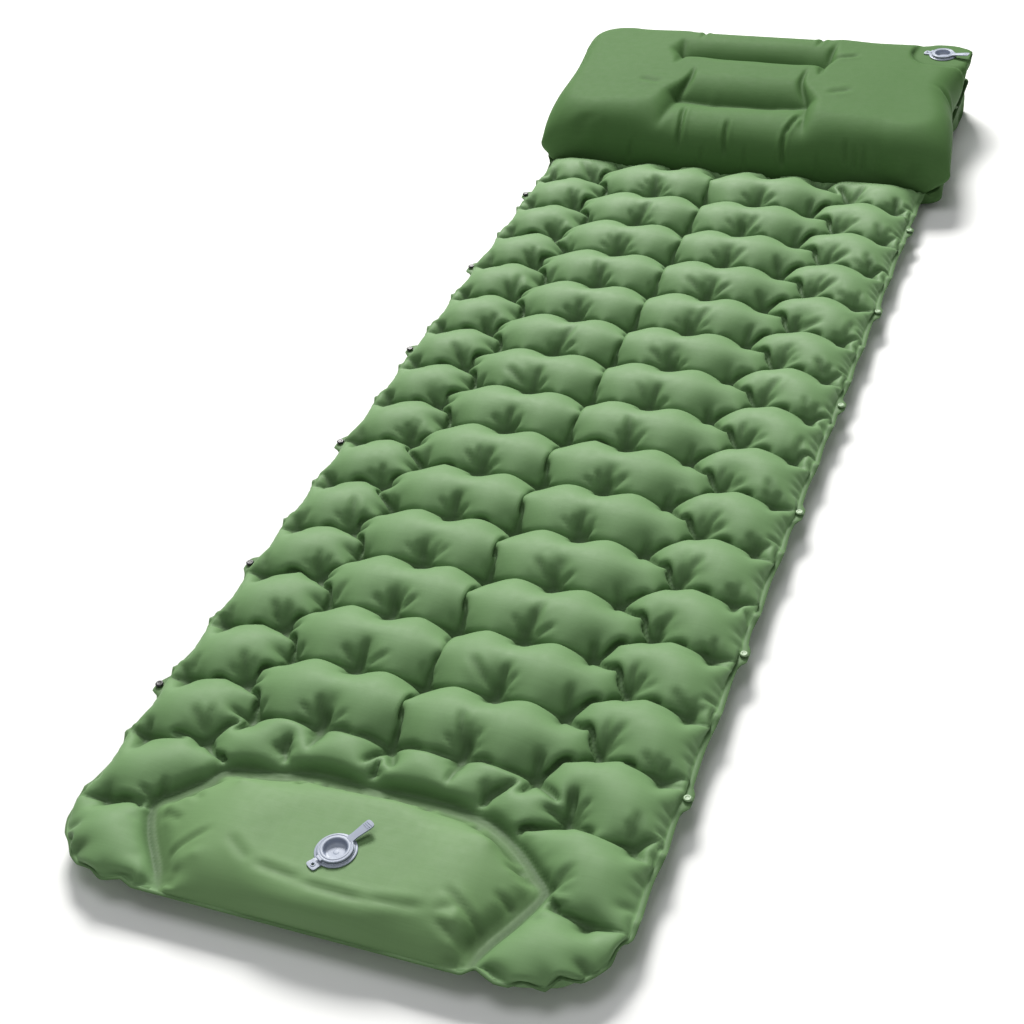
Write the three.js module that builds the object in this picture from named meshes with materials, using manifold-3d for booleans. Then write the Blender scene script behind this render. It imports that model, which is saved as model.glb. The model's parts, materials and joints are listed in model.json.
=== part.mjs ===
// Inflatable sleeping mat with a raised pillow and a built-in foot pump.
// Millimetres. +Z is up, +Y runs from the foot to the pillow, -X is left and +X is right.
// Origin: on the floor plane, near the centre of the mat's footprint.
import * as THREE from 'three';
import * as BufferGeometryUtils from 'three/addons/utils/BufferGeometryUtils.js';
import Module from 'manifold-3d';

const wasm = await Module();
wasm.setup();

// ---- driving dimensions ----------------------------------------------------
const SHEET = 1.2;             // thickness of a sheet
const FLANGE_W = 11;           // width of the flat welded flange
const Y_WELD = 598;            // transverse weld between mat and pillow
const WELD_INSET = 2;          // mat and pillow outlines each stop this far from the weld

const PAD = {
  left: -306, right: 327,      // outer edges of the seam flange
  foot: -980,
  seamZ: 30,
  top: 60,
  footRadius: 92, headRadius: 14,
  minFootRadius: 6, minHeadRadius: 4,
  middle: [0, -190],           // where the sheets' faces close
};

const PILLOW = {
  halfWidth: 329,              // outer edge of the seam flange
  head: 980,
  seamZ: 54,
  top: 112,
  bulge: 10,                   // how far the ends stand out past the flange
  taper: 0.062,                // share of its x that the left side loses at the weld
  taperStart: 60,              // the taper begins this far in from the head
  middle: [0, 790],
};

const PUMP = {
  x: 17, halfWidth: 162,
  foot: -955, head: -811,
  top: 58,
  wallFoot: PAD.seamZ + 7,     // lower edge of the panel's side
  radius: 30, minRadius: 6,
  clearance: 3,                // gap round the panel in the mat's top sheet
  middle: [17, -883],
};
const FOAM = { halfWidth: 138, foot: -931, head: -837, z0: 3, z1: 54, radius: 14, hole: 24 };
const WALL = { y: -831, halfWidth: 124, z0: 3.5, z1: 33.5, radius: 8, hole: 10.4, valveZ: 18.5 };

// at: centre on the sheet's outer face; tabDegrees: direction of the pull tab from +X
const INLET_VALVE = { at: [PUMP.x, -893, PUMP.top], tabDegrees: 58 };
const PILLOW_VALVE = { at: [288, 926, PILLOW.top], tabDegrees: -6 };
const VALVE_HOLE = { radius: 16.9, below: 8, above: 4 };

const SNAP = { radius: 4.8, post: 2, bore: 2.4, hole: 2.5, inset: 5.4, gap: 0.5, segments: 10 };
const SNAP_Y = [-709, -489, -230, 2, 238, 474];
const SNAP_Y_PILLOW = 852;

const MATERIALS = {
  fabric: { color: 0x6f9a66, roughness: 0.62 },
  panel: { color: 0x739e6a, roughness: 0.6 },
  foam: { color: 0xd8d4c4, roughness: 0.95 },
  film: { color: 0xdfe3de, roughness: 0.4 },
  plastic: { color: 0xa6b0c2, roughness: 0.45 },
  silicone: { color: 0xd9dde2, roughness: 0.5 },
  black: { color: 0x17181a, roughness: 0.4 },
  green: { color: 0x6f9466, roughness: 0.45 },
};

// ---- meshes and solids -----------------------------------------------------
const mattress = new THREE.Group();

function addMesh(name, geometry, materialName, parent = mattress) {
  const material = new THREE.MeshStandardMaterial({ ...MATERIALS[materialName], metalness: 0 });
  const mesh = new THREE.Mesh(geometry, material);
  mesh.name = name;
  parent.add(mesh);
}

const radians = (degrees) => (degrees * Math.PI) / 180;

function isInsideOut(geometry) {
  const { position } = geometry.attributes;
  const index = geometry.index.array;
  const corner = (i) => new THREE.Vector3().fromBufferAttribute(position, index[i]);
  let volume = 0;
  for (let i = 0; i < index.length; i += 3) {
    volume += corner(i).dot(corner(i + 1).cross(corner(i + 2)));
  }
  return volume < 0;
}

// Joins shared vertices, drops triangles collapsed at a pole or seam, and faces the rest outwards.
function weld(geometry) {
  for (const key of Object.keys(geometry.attributes)) {
    if (key !== 'position') geometry.deleteAttribute(key);
  }
  const merged = BufferGeometryUtils.mergeVertices(geometry, 1e-4);
  const index = merged.index.array;
  const kept = [];
  for (let i = 0; i < index.length; i += 3) {
    const [a, b, c] = index.slice(i, i + 3);
    if (a !== b && b !== c && a !== c) kept.push(a, b, c);
  }
  merged.setIndex(kept);
  if (isInsideOut(merged)) {
    for (let i = 0; i < kept.length; i += 3) {
      [kept[i + 1], kept[i + 2]] = [kept[i + 2], kept[i + 1]];
    }
    merged.setIndex(kept);
  }
  return merged;
}

function solid(geometry) {
  const welded = weld(geometry);
  return new wasm.Manifold(new wasm.Mesh({
    numProp: 3,
    vertProperties: new Float32Array(welded.attributes.position.array),
    triVerts: new Uint32Array(welded.index.array),
  }));
}

function toGeometry(manifold) {
  const mesh = manifold.getMesh();
  const geometry = new THREE.BufferGeometry();
  const positions = new Float32Array(mesh.vertProperties);
  geometry.setAttribute('position', new THREE.BufferAttribute(positions, 3));
  geometry.setIndex(new THREE.BufferAttribute(new Uint32Array(mesh.triVerts), 1));
  return geometry;
}

function cut(geometry, tools) {
  return toGeometry(tools.reduce((body, tool) => body.subtract(tool), solid(geometry)));
}

// ---- shapes ----------------------------------------------------------------
// Turns a profile of [radius, z] about Z, closing it from its last point to its first.
function revolve(profile, segments = 24) {
  const points = [...profile, profile[0]].map(([radius, z]) => new THREE.Vector2(radius, z));
  return new THREE.LatheGeometry(points, segments).rotateX(Math.PI / 2);
}

function closedPath(PathType, points) {
  const path = new PathType(points.map(([x, y]) => new THREE.Vector2(x, y)));
  path.closePath();
  return path;
}

function circle(x, y, radius, segments = 24) {
  return Array.from({ length: segments }, (_, i) => {
    const angle = (-2 * Math.PI * i) / segments;
    return [x + radius * Math.cos(angle), y + radius * Math.sin(angle)];
  });
}

function extrude(outline, z0, z1, hole) {
  const shape = closedPath(THREE.Shape, outline);
  if (hole) shape.holes.push(closedPath(THREE.Path, hole));
  const geometry = new THREE.ExtrudeGeometry(shape, { depth: z1 - z0, bevelEnabled: false });
  return geometry.translate(0, 0, z0);
}

// radii: one value, or four in the order foot-right, head-right, head-left, foot-left
function roundedRect(x0, y0, x1, y1, radii, steps = 5) {
  // corner x, y, direction inwards along x and y, start angle
  const corners = [
    [x1, y0, -1, 1, -90],
    [x1, y1, -1, -1, 0],
    [x0, y1, 1, -1, 90],
    [x0, y0, 1, 1, 180],
  ];
  const points = [];
  corners.forEach(([x, y, inX, inY, start], corner) => {
    const radius = Array.isArray(radii) ? radii[corner] : radii;
    for (let i = 0; i <= steps; i++) {
      const angle = radians(start + (90 * i) / steps);
      points.push([
        x + inX * radius + radius * Math.cos(angle),
        y + inY * radius + radius * Math.sin(angle),
      ]);
    }
  });
  return points;
}

// A sheet as a stack of rings, [outline, z], all with equally many points. They run from the
// middle of the outer face to its edge and back along the inner face to the middle [x, y].
function skin(rings, middle) {
  const count = rings[0][0].length;
  const last = (rings.length - 1) * count;
  const outerMiddle = last + count;
  const innerMiddle = outerMiddle + 1;
  const positions = rings.flatMap(([outline, z]) => outline.flatMap(([x, y]) => [x, y, z]));
  positions.push(...middle, rings[0][1], ...middle, rings.at(-1)[1]);

  const index = [];
  for (let start = 0; start < last; start += count) {
    for (let i = 0; i < count; i++) {
      const a = start + i;
      const b = start + ((i + 1) % count);
      index.push(a, a + count, b, b, a + count, b + count);
    }
  }
  for (let i = 0; i < count; i++) {
    const next = (i + 1) % count;
    index.push(outerMiddle, i, next, innerMiddle, last + next, last + i);
  }
  const geometry = new THREE.BufferGeometry();
  geometry.setAttribute('position', new THREE.BufferAttribute(new Float32Array(positions), 3));
  geometry.setIndex(index);
  return geometry;
}

// Upright cutters at each [x, y]
function drills(places, radius, z0, z1) {
  return places.map(([x, y]) => {
    const cylinder = new THREE.CylinderGeometry(radius, radius, z1 - z0, 10);
    return solid(cylinder.rotateX(Math.PI / 2).translate(x, y, (z0 + z1) / 2));
  });
}

function valveDrill({ at: [x, y, z] }) {
  return drills([[x, y]], VALVE_HOLE.radius, z - VALVE_HOLE.below, z + VALVE_HOLE.above);
}

// ---- mat sheets ------------------------------------------------------------
const PAD_SNAP_X = [PAD.left + SNAP.inset, PAD.right - SNAP.inset];
const padSnaps = PAD_SNAP_X.flatMap((x) => SNAP_Y.map((y) => [x, y]));

function padOutline(inset) {
  const foot = Math.max(PAD.footRadius - inset, PAD.minFootRadius);
  const head = Math.max(PAD.headRadius - inset, PAD.minHeadRadius);
  return roundedRect(PAD.left + inset, PAD.foot + inset,
    PAD.right - inset, Y_WELD - WELD_INSET - inset, [foot, head, head, foot]);
}

function padSheet(rings, tools) {
  return cut(skin(rings.map(([inset, z]) => [padOutline(inset), z]), PAD.middle), tools);
}

function addPadTop() {
  const { top, seamZ } = PAD;
  // inset from the flange edge, z
  const rings = [
    [70, top], [38, top - 3], [22, top - 11], [14, top - 21],
    [FLANGE_W, seamZ + SHEET + 0.4], [0, seamZ + SHEET + 0.2],
    [0, seamZ + 0.2], [FLANGE_W + SHEET, seamZ + 0.2],
    [14 + SHEET, top - 21 - SHEET * 0.5], [22 + SHEET, top - 11 - SHEET],
    [38 + 0.5, top - 3 - SHEET], [70, top - SHEET],
  ];
  const opening = pumpOutline(-PUMP.clearance, PUMP.radius);
  const tools = [
    solid(extrude(opening, seamZ + 4, top + 5)),
    ...drills(padSnaps, SNAP.hole, seamZ - 2, seamZ + 6),
  ];
  addMesh('pad_top_sheet', padSheet(rings, tools), 'fabric');
}

function addPadBottom() {
  const { seamZ } = PAD;
  // inset from the flange edge, z
  const rings = [
    [60, 0], [30, 1.5], [18, 9], [13, 20],
    [FLANGE_W, seamZ - SHEET - 0.4], [0, seamZ - SHEET - 0.2],
    [0, seamZ - 0.2], [FLANGE_W + SHEET, seamZ - 0.2],
    [13 + SHEET, 20 + SHEET * 0.5], [18 + SHEET, 9 + SHEET],
    [30 + 0.5, 1.5 + SHEET], [60, SHEET],
  ];
  const tools = drills(padSnaps, SNAP.hole, seamZ - 6, seamZ + 2);
  addMesh('pad_bottom_sheet', padSheet(rings, tools), 'fabric');
}

// ---- pillow ----------------------------------------------------------------
// Draws the left side in towards the mat.
function taper([x, y]) {
  const start = PILLOW.head - PILLOW.taperStart;
  const share = Math.max(0, start - y) / (start - Y_WELD);
  return [x < 0 ? x * (1 - PILLOW.taper * share) : x, y];
}

const PILLOW_SNAP_X = PILLOW.halfWidth - SNAP.inset;
const pillowSnaps = [-PILLOW_SNAP_X, PILLOW_SNAP_X].map((x) => taper([x, SNAP_Y_PILLOW]));

function pillowOutline(side, foot, head, radius) {
  const x = PILLOW.halfWidth - side;
  const y0 = Y_WELD + WELD_INSET + foot;
  return roundedRect(-x, y0, x, PILLOW.head - head, radius).map(taper);
}

function pillowPanel(rings, tools) {
  const outlines = rings.map(([side, foot, head, radius, z]) => (
    [pillowOutline(side, foot, head, radius), z]));
  return cut(skin(outlines, PILLOW.middle), tools);
}

function addPillowTop() {
  const { top, seamZ, bulge } = PILLOW;
  const F = FLANGE_W;
  const T = SHEET;
  // inset at the sides, at the foot end, at the head end; corner radius; z
  const rings = [
    [16, 12, 16, 22, top],
    [2, -6, 6, 26, top - 6],
    [-bulge, -20, 2, 30, top - 22],
    [-bulge * 0.5, -14, 3, 28, seamZ + 14],
    [F, 2, F, 14, seamZ + T + 5.5],
    [F, 2, F, 14, seamZ + T + 0.4],
    [0, 0, 0, 10, seamZ + T + 0.2],
    [0, 0, 0, 10, seamZ + 0.2],
    [F + T, 2 + T, F + T, 14, seamZ + 0.2],
    [F + T, 2 + T, F + T, 14, seamZ + T + 5.8],
    [-bulge * 0.5 + T, -14 + T, 3 + T, 28, seamZ + 14],
    [-bulge + T, -20 + T, 2 + T, 30, top - 22],
    [2 + T, -6 + T, 6 + T, 26, top - 6 - T * 0.6],
    [16, 12, 16, 22, top - T],
  ];
  const tools = [
    ...valveDrill(PILLOW_VALVE),
    ...drills(pillowSnaps, SNAP.hole, seamZ - 2, seamZ + 8),
  ];
  addMesh('pillow_top_panel', pillowPanel(rings, tools), 'fabric');
}

function addPillowBottom() {
  const { seamZ } = PILLOW;
  const F = FLANGE_W;
  const T = SHEET;
  // inset at the sides, at the foot end, at the head end; corner radius; z
  const rings = [
    [40, 40, 40, 20, 0],
    [16, 14, 16, 26, 4],
    [2, 3, 5, 28, 18],
    [0, 2, 4, 24, 32],
    [F, 2, F, 14, seamZ - T - 5.5],
    [F, 2, F, 14, seamZ - T - 0.4],
    [0, 0, 0, 10, seamZ - T - 0.2],
    [0, 0, 0, 10, seamZ - 0.2],
    [F + T, 2 + T, F + T, 14, seamZ - 0.2],
    [F + T, 2 + T, F + T, 14, seamZ - T - 5.8],
    [T, 2 + T, 4 + T, 24, 32],
    [2 + T, 3 + T, 5 + T, 28, 18 + T * 0.3],
    [16 + T * 0.7, 14 + T * 0.7, 16 + T * 0.7, 26, 4 + T * 0.7],
    [40, 40, 40, 20, T],
  ];
  const tools = drills(pillowSnaps, SNAP.hole, seamZ - 8, seamZ + 2);
  addMesh('pillow_bottom_panel', pillowPanel(rings, tools), 'fabric');
}

// ---- foot pump -------------------------------------------------------------
function pumpOutline(inset, radius) {
  return roundedRect(PUMP.x - PUMP.halfWidth + inset, PUMP.foot + inset,
    PUMP.x + PUMP.halfWidth - inset, PUMP.head - inset, radius);
}

function addPumpPanel() {
  const { top, wallFoot } = PUMP;
  // inset from the panel's edge, z
  const rings = [
    [34, top], [18, top - 2.5], [7, top - 9], [1, top - 18], [0, wallFoot],
    [SHEET, wallFoot], [1 + SHEET, top - 18], [7 + SHEET, top - 9 - SHEET * 0.5],
    [18 + 0.5, top - 2.5 - SHEET], [34, top - SHEET],
  ];
  const outlines = rings.map(([inset, z]) => (
    [pumpOutline(inset, Math.max(PUMP.radius - inset, PUMP.minRadius)), z]));
  addMesh('pump_top_panel', cut(skin(outlines, PUMP.middle), valveDrill(INLET_VALVE)), 'panel');
}

// Foam block with a round hole under the inlet valve
function addPumpFoam() {
  const outline = roundedRect(PUMP.x - FOAM.halfWidth, FOAM.foot,
    PUMP.x + FOAM.halfWidth, FOAM.head, FOAM.radius, 4);
  const [x, y] = INLET_VALVE.at;
  const block = extrude(outline, FOAM.z0, FOAM.z1, circle(x, y, FOAM.hole));
  addMesh('pump_foam', weld(block), 'foam');
}

// Wall on the head side of the foam, holed for the one-way valve; drawn in X, Z and stood up
function addDividerWall() {
  const outline = roundedRect(-WALL.halfWidth, WALL.z0, WALL.halfWidth, WALL.z1, WALL.radius, 4);
  const wall = extrude(outline, 0, SHEET, circle(0, WALL.valveZ, WALL.hole));
  wall.rotateX(Math.PI / 2).translate(PUMP.x, WALL.y + SHEET, 0);
  addMesh('pump_divider_wall', weld(wall), 'film');
}

// One-way valve, modelled along Z and laid along +Y; its collar is on the wall's head side
function addCheckValve() {
  const length = 2.8;
  const start = WALL.y - 0.1;
  const flapGap = 0.3;
  const bar = { length: 15, width: 1.8, thickness: 1.4 };
  const bodyProfile = [[6.8, 0], [10, 0], [10, 1.6], [12.2, 1.6], [12.2, length], [6.8, length]];
  const flapProfile = [[0, 0], [8.2, 0], [8.2, 0.7], [0, 0.7]];
  const place = (geometry, y) => (
    geometry.rotateX(-Math.PI / 2).translate(PUMP.x, y, WALL.valveZ));

  const barBox = new THREE.BoxGeometry(bar.length, bar.width, bar.thickness);
  barBox.translate(0, 0, bar.thickness / 2);
  const body = toGeometry(solid(revolve(bodyProfile, 16)).add(solid(barBox)));
  addMesh('check_valve_body', place(body, start), 'plastic');
  const flap = place(revolve(flapProfile, 16), start + length + flapGap);
  addMesh('check_valve_flap', weld(flap), 'silicone');
}

// ---- inflation valves ------------------------------------------------------
// z = 0 is the outer face of the sheet that the valve sits in; +x is the pull tab's direction.

// Stepped ring with an eyelet ear on the side away from the tab
function valveFlange() {
  const ring = [
    [16.4, 0.3], [22, 0.3], [22, 1.3], [21.2, 1.8], [19.6, 1.8], [19.3, 2.7], [16.4, 2.7],
  ];
  // x, y
  const ear = [
    [-20.5, 5.5], [-25, 6.5], [-29.5, 6.8], [-31.3, 5.4], [-31.8, 0],
    [-31.3, -5.4], [-29.5, -6.8], [-25, -6.5], [-20.5, -5.5],
  ];
  const eyelet = circle(-26.8, 0, 1.6, 16);
  return toGeometry(solid(revolve(ring)).add(solid(extrude(ear, 0.3, 1.7, eyelet))));
}

// Tube with a spoked seat at its foot
function valveNeck() {
  const tube = [[14.35, -8.5], [16, -8.5], [16, 3], [14.35, 3]];
  const seat = [[11, -8.5], [14.9, -8.5], [14.9, -7.1], [11, -7.1]];
  const spoke = { length: 24, width: 2, thickness: 1.4, z: -7.8 };
  let neck = solid(revolve(tube)).add(solid(revolve(seat)));
  for (const angle of [0, Math.PI / 2]) {
    const bar = new THREE.BoxGeometry(spoke.length, spoke.width, spoke.thickness);
    neck = neck.add(solid(bar.rotateZ(angle).translate(0, 0, spoke.z)));
  }
  return toGeometry(neck);
}

function valveFlap() {
  return weld(revolve([[0, -9.7], [12.6, -9.7], [12.6, -8.9], [0, -8.9]], 20));
}

// Rim, sunken bowl that plugs the neck, raised pull tab and hinge strap
function valveCap() {
  const bowl = [
    [0, -2.6], [10.6, -2.2], [12.9, -0.8], [13.1, 3.6], [18.4, 3.6], [18.6, 4.4], [18, 5.3],
    [13.2, 5.3], [12.3, 4.4], [11.9, 0.4], [10.2, -0.8], [0, -1.3],
  ];
  // x, y from the tab's root
  const tabOutline = [
    [-1, -4.2], [8, -4.2], [22, -5.4], [26.5, -5.2], [28, -3.6],
    [28, 3.6], [26.5, 5.2], [22, 5.4], [8, 4.2], [-1, 4.2],
  ];
  const tab = extrude(tabOutline, 0, 1.7).rotateY(radians(-9)).translate(17, 0, 3.6);
  const strap = new THREE.BoxGeometry(3.2, 8, 1.4).translate(-18.9, 0, 4.5);
  return toGeometry(solid(revolve(bowl)).add(solid(tab)).add(solid(strap)));
}

function valveSeal() {
  return weld(new THREE.TorusGeometry(13.72, 0.28, 6, 24).translate(0, 0, 1.2));
}

function addValve(prefix, { at, tabDegrees }) {
  const group = new THREE.Group();
  group.position.set(...at);
  group.rotation.z = radians(tabDegrees);
  mattress.add(group);
  addMesh(`${prefix}_flange`, valveFlange(), 'plastic', group);
  addMesh(`${prefix}_neck`, valveNeck(), 'plastic', group);
  addMesh(`${prefix}_flap`, valveFlap(), 'silicone', group);
  addMesh(`${prefix}_cap`, valveCap(), 'plastic', group);
  addMesh(`${prefix}_seal_ring`, valveSeal(), 'silicone', group);
}

// ---- snap buttons ----------------------------------------------------------
// Cap above the flange with a post through it, and a socket or stud below
function addSnap(name, x, y, seamZ, part, materialName) {
  const { radius, post, bore, gap, segments } = SNAP;
  const high = seamZ + SHEET + gap;
  const low = seamZ - SHEET - gap;
  const cap = [
    [0, seamZ - 2.6], [post, seamZ - 2.6], [post, high], [radius, high],
    [radius, seamZ + SHEET + 1.2], [radius - 1, seamZ + SHEET + 2.2], [0, seamZ + SHEET + 2.6],
  ];
  const lower = {
    stud: [
      [bore, low], [radius, low], [radius, low - 1.2],
      [3.4, low - 1.4], [3.1, low - 3.8], [bore, low - 3.8],
    ],
    socket: [
      [bore, low], [radius, low], [radius - 0.3, low - 3],
      [3.6, low - 3], [3.6, low - 1.4], [bore, low - 1.4],
    ],
  };
  for (const [suffix, profile] of [['cap', cap], [part, lower[part]]]) {
    const turned = revolve(profile, segments).translate(x, y, 0);
    addMesh(`${name}_${suffix}`, weld(turned), materialName);
  }
}

function addSnaps() {
  // left x, right x, y, seam z
  const rows = [
    ...SNAP_Y.map((y) => [...PAD_SNAP_X, y, PAD.seamZ]),
    [...pillowSnaps.map(([x]) => x), SNAP_Y_PILLOW, PILLOW.seamZ],
  ];
  rows.forEach(([left, right, y, seamZ], i) => {
    addSnap(`snap_left_${i + 1}`, left, y, seamZ, 'socket', 'black');
    addSnap(`snap_right_${i + 1}`, right, y, seamZ, 'stud', 'green');
  });
}

addPadTop();
addPadBottom();
addPillowTop();
addPillowBottom();
addPumpPanel();
addPumpFoam();
addDividerWall();
addCheckValve();
addValve('inlet_valve', INLET_VALVE);
addValve('pillow_valve', PILLOW_VALVE);
addSnaps();

export default mattress;
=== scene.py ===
"""Inflatable sleeping mat with a built-in foot pump and a fixed pillow.

X runs across the mat, Y from the foot (-) to the head (+), Z up from the floor. Lengths are
millimetres; meshes are turned into metres as they are made. The mat and the pillow each
have a flat seam plane, with a top sheet blown up above it and a bottom sheet below it.
"""

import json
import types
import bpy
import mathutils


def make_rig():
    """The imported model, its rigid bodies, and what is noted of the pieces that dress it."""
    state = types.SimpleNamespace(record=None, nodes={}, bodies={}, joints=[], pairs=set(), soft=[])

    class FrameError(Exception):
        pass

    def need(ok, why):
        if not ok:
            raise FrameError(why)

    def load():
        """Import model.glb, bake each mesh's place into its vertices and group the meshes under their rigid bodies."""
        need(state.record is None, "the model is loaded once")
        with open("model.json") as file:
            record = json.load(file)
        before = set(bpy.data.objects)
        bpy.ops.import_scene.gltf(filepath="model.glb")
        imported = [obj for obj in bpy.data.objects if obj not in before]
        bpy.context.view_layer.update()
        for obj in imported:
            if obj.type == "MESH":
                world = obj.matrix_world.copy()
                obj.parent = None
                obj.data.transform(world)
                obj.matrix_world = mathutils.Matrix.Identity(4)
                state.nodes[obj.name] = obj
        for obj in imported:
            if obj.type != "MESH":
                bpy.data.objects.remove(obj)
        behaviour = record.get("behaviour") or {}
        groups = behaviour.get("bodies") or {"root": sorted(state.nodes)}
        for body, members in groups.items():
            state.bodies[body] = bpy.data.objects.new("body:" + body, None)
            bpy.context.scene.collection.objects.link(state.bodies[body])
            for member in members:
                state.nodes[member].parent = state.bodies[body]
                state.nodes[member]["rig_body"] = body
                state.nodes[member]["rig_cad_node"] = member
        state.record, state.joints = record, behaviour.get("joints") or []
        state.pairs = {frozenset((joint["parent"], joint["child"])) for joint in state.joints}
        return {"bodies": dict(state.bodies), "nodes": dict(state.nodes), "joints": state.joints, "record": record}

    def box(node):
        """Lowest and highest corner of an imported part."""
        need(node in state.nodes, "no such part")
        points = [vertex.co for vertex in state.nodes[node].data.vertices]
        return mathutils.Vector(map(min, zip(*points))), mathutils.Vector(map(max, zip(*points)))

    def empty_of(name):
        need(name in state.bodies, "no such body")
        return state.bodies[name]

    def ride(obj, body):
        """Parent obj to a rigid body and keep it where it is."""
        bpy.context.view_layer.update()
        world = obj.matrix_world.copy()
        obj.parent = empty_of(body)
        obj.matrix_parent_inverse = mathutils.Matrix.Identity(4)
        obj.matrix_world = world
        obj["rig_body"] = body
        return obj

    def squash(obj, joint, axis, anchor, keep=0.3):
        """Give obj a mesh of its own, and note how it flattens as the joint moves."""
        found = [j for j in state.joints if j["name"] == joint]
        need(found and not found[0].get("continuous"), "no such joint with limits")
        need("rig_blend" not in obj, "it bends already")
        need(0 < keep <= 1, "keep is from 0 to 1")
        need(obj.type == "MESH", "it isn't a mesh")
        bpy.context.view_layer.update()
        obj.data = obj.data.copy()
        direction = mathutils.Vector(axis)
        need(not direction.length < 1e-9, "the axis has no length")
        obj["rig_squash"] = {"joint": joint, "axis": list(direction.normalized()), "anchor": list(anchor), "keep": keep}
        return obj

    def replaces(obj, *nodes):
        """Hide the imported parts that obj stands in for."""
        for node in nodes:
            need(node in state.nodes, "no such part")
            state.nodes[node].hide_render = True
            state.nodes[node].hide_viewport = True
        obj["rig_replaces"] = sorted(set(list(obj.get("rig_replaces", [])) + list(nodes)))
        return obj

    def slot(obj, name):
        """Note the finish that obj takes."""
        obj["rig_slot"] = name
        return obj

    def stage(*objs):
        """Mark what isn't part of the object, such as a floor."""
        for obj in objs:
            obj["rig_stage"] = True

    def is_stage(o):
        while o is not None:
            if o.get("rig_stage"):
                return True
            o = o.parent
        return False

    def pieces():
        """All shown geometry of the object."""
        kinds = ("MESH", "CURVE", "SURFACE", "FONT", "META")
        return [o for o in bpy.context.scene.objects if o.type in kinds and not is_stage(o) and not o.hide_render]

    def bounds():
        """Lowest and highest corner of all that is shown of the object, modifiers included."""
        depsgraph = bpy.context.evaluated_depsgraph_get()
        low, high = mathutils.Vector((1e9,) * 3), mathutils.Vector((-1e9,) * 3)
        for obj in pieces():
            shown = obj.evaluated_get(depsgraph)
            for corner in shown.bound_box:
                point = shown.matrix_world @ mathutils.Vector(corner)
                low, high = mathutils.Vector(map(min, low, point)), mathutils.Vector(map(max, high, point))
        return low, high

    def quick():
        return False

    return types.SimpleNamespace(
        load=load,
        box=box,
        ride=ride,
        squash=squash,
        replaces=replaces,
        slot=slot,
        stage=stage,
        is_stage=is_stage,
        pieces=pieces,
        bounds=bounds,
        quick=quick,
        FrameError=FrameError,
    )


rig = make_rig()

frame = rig.load()

import json
import math

import bmesh
import bpy
import numpy as np
from mathutils import Matrix, Vector

f32 = np.float32
CAD_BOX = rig.bounds()
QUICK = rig.quick()
LEVELS = 2 if QUICK else 3                 # grid levels each sheet is solved on
MM = 1000.0                                # millimetres in a metre


# ---------------------------------------------------------------------------
# Dimensions read from the frame
# ---------------------------------------------------------------------------
def box_mm(node):
    lo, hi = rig.box(node)
    return np.array(lo) * MM, np.array(hi) * MM


def valve_centre(neck, panel):
    """The neck's axis, at the height of the panel's top."""
    lo, hi = box_mm(neck)
    return np.array([(lo[0] + hi[0]) / 2, (lo[1] + hi[1]) / 2, float(box_mm(panel)[1][2])])


sheet_lo, sheet_hi = box_mm("pad_top_sheet")
panel_lo, panel_hi = box_mm("pillow_top_panel")
foam_lo, foam_hi = box_mm("pump_foam")
FLANGE = 9.2
MARGIN = 0.6                               # from a side flange to the weld line
SHEET = 0.2                                # from a seam plane up to its top sheet
SEAM_Z = float(sheet_lo[2] - SHEET)
MAT_LEFT = float(sheet_lo[0]) + FLANGE + MARGIN
MAT_RIGHT = float(sheet_hi[0]) - FLANGE - MARGIN
FOOT_Y = float(sheet_lo[1]) + FLANGE
JOIN_Y = float(sheet_hi[1]) + 2.0          # transverse weld between mat and pillow
HEAD_Y = float(box_mm("pillow_bottom_panel")[1][1]) - 6.0
PILLOW_SEAM_Z = float(panel_lo[2] - SHEET)
PILLOW_TOP_Z = float(panel_hi[2])
PILLOW_INSET = 16.0                        # from the panel's box to its weld line
PILLOW_RIGHT = float(panel_hi[0]) - PILLOW_INSET
PILLOW_LEFT = float(panel_lo[0]) + PILLOW_INSET    # at the head; MAT_LEFT at the mat
PUMP_VALVE = valve_centre("inlet_valve_neck", "pump_top_panel")
PILLOW_VALVE = valve_centre("pillow_valve_neck", "pillow_top_panel")
HOLE_RADIUS = 16.6                         # hole in the fabric under a valve
COLUMN, ROW = 166.0, 93.05                 # pitches of the weld-dot grid
ROW_0_Y = -715.0

SNAPS = {-1: [], 1: []}                    # places of the mat's snaps, by side
for node_name in frame["nodes"]:
    if node_name.startswith("snap_") and node_name.endswith("_cap"):
        snap_lo, snap_hi = box_mm(node_name)
        x, y = float(snap_lo[0] + snap_hi[0]) / 2, float(snap_lo[1] + snap_hi[1]) / 2
        if y < JOIN_Y:
            SNAPS[-1 if x < 0 else 1].append((x, y))


def row_y(row):
    return row * ROW + ROW_0_Y


def grid_point(column, row):
    return (column - 0.5) * COLUMN, row_y(row)


# ---------------------------------------------------------------------------
# Curves and grids
# ---------------------------------------------------------------------------
def ease(t):
    t = np.clip(t, 0, 1)
    return t * t * (3 - 2 * t)


def curve_through(stations, steps, closed=False):
    """Catmull-Rom curve through the stations."""
    p = [np.array(q, float) for q in stations]
    if closed:
        p = [p[-1], *p, p[0], p[1]]
    else:
        p = [2 * p[0] - p[1], *p, 2 * p[-1] - p[-2]]
    out = []
    for a, b, c, d in zip(p, p[1:], p[2:], p[3:]):
        for t in np.linspace(0, 1, steps, endpoint=False):
            out.append(tuple(0.5 * (2 * b + (c - a) * t + (2 * a - 5 * b + 4 * c - d) * t * t
                                    + (3 * b - a - 3 * c + d) * t ** 3)))
    return out if closed else out + [tuple(p[-2])]


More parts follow.
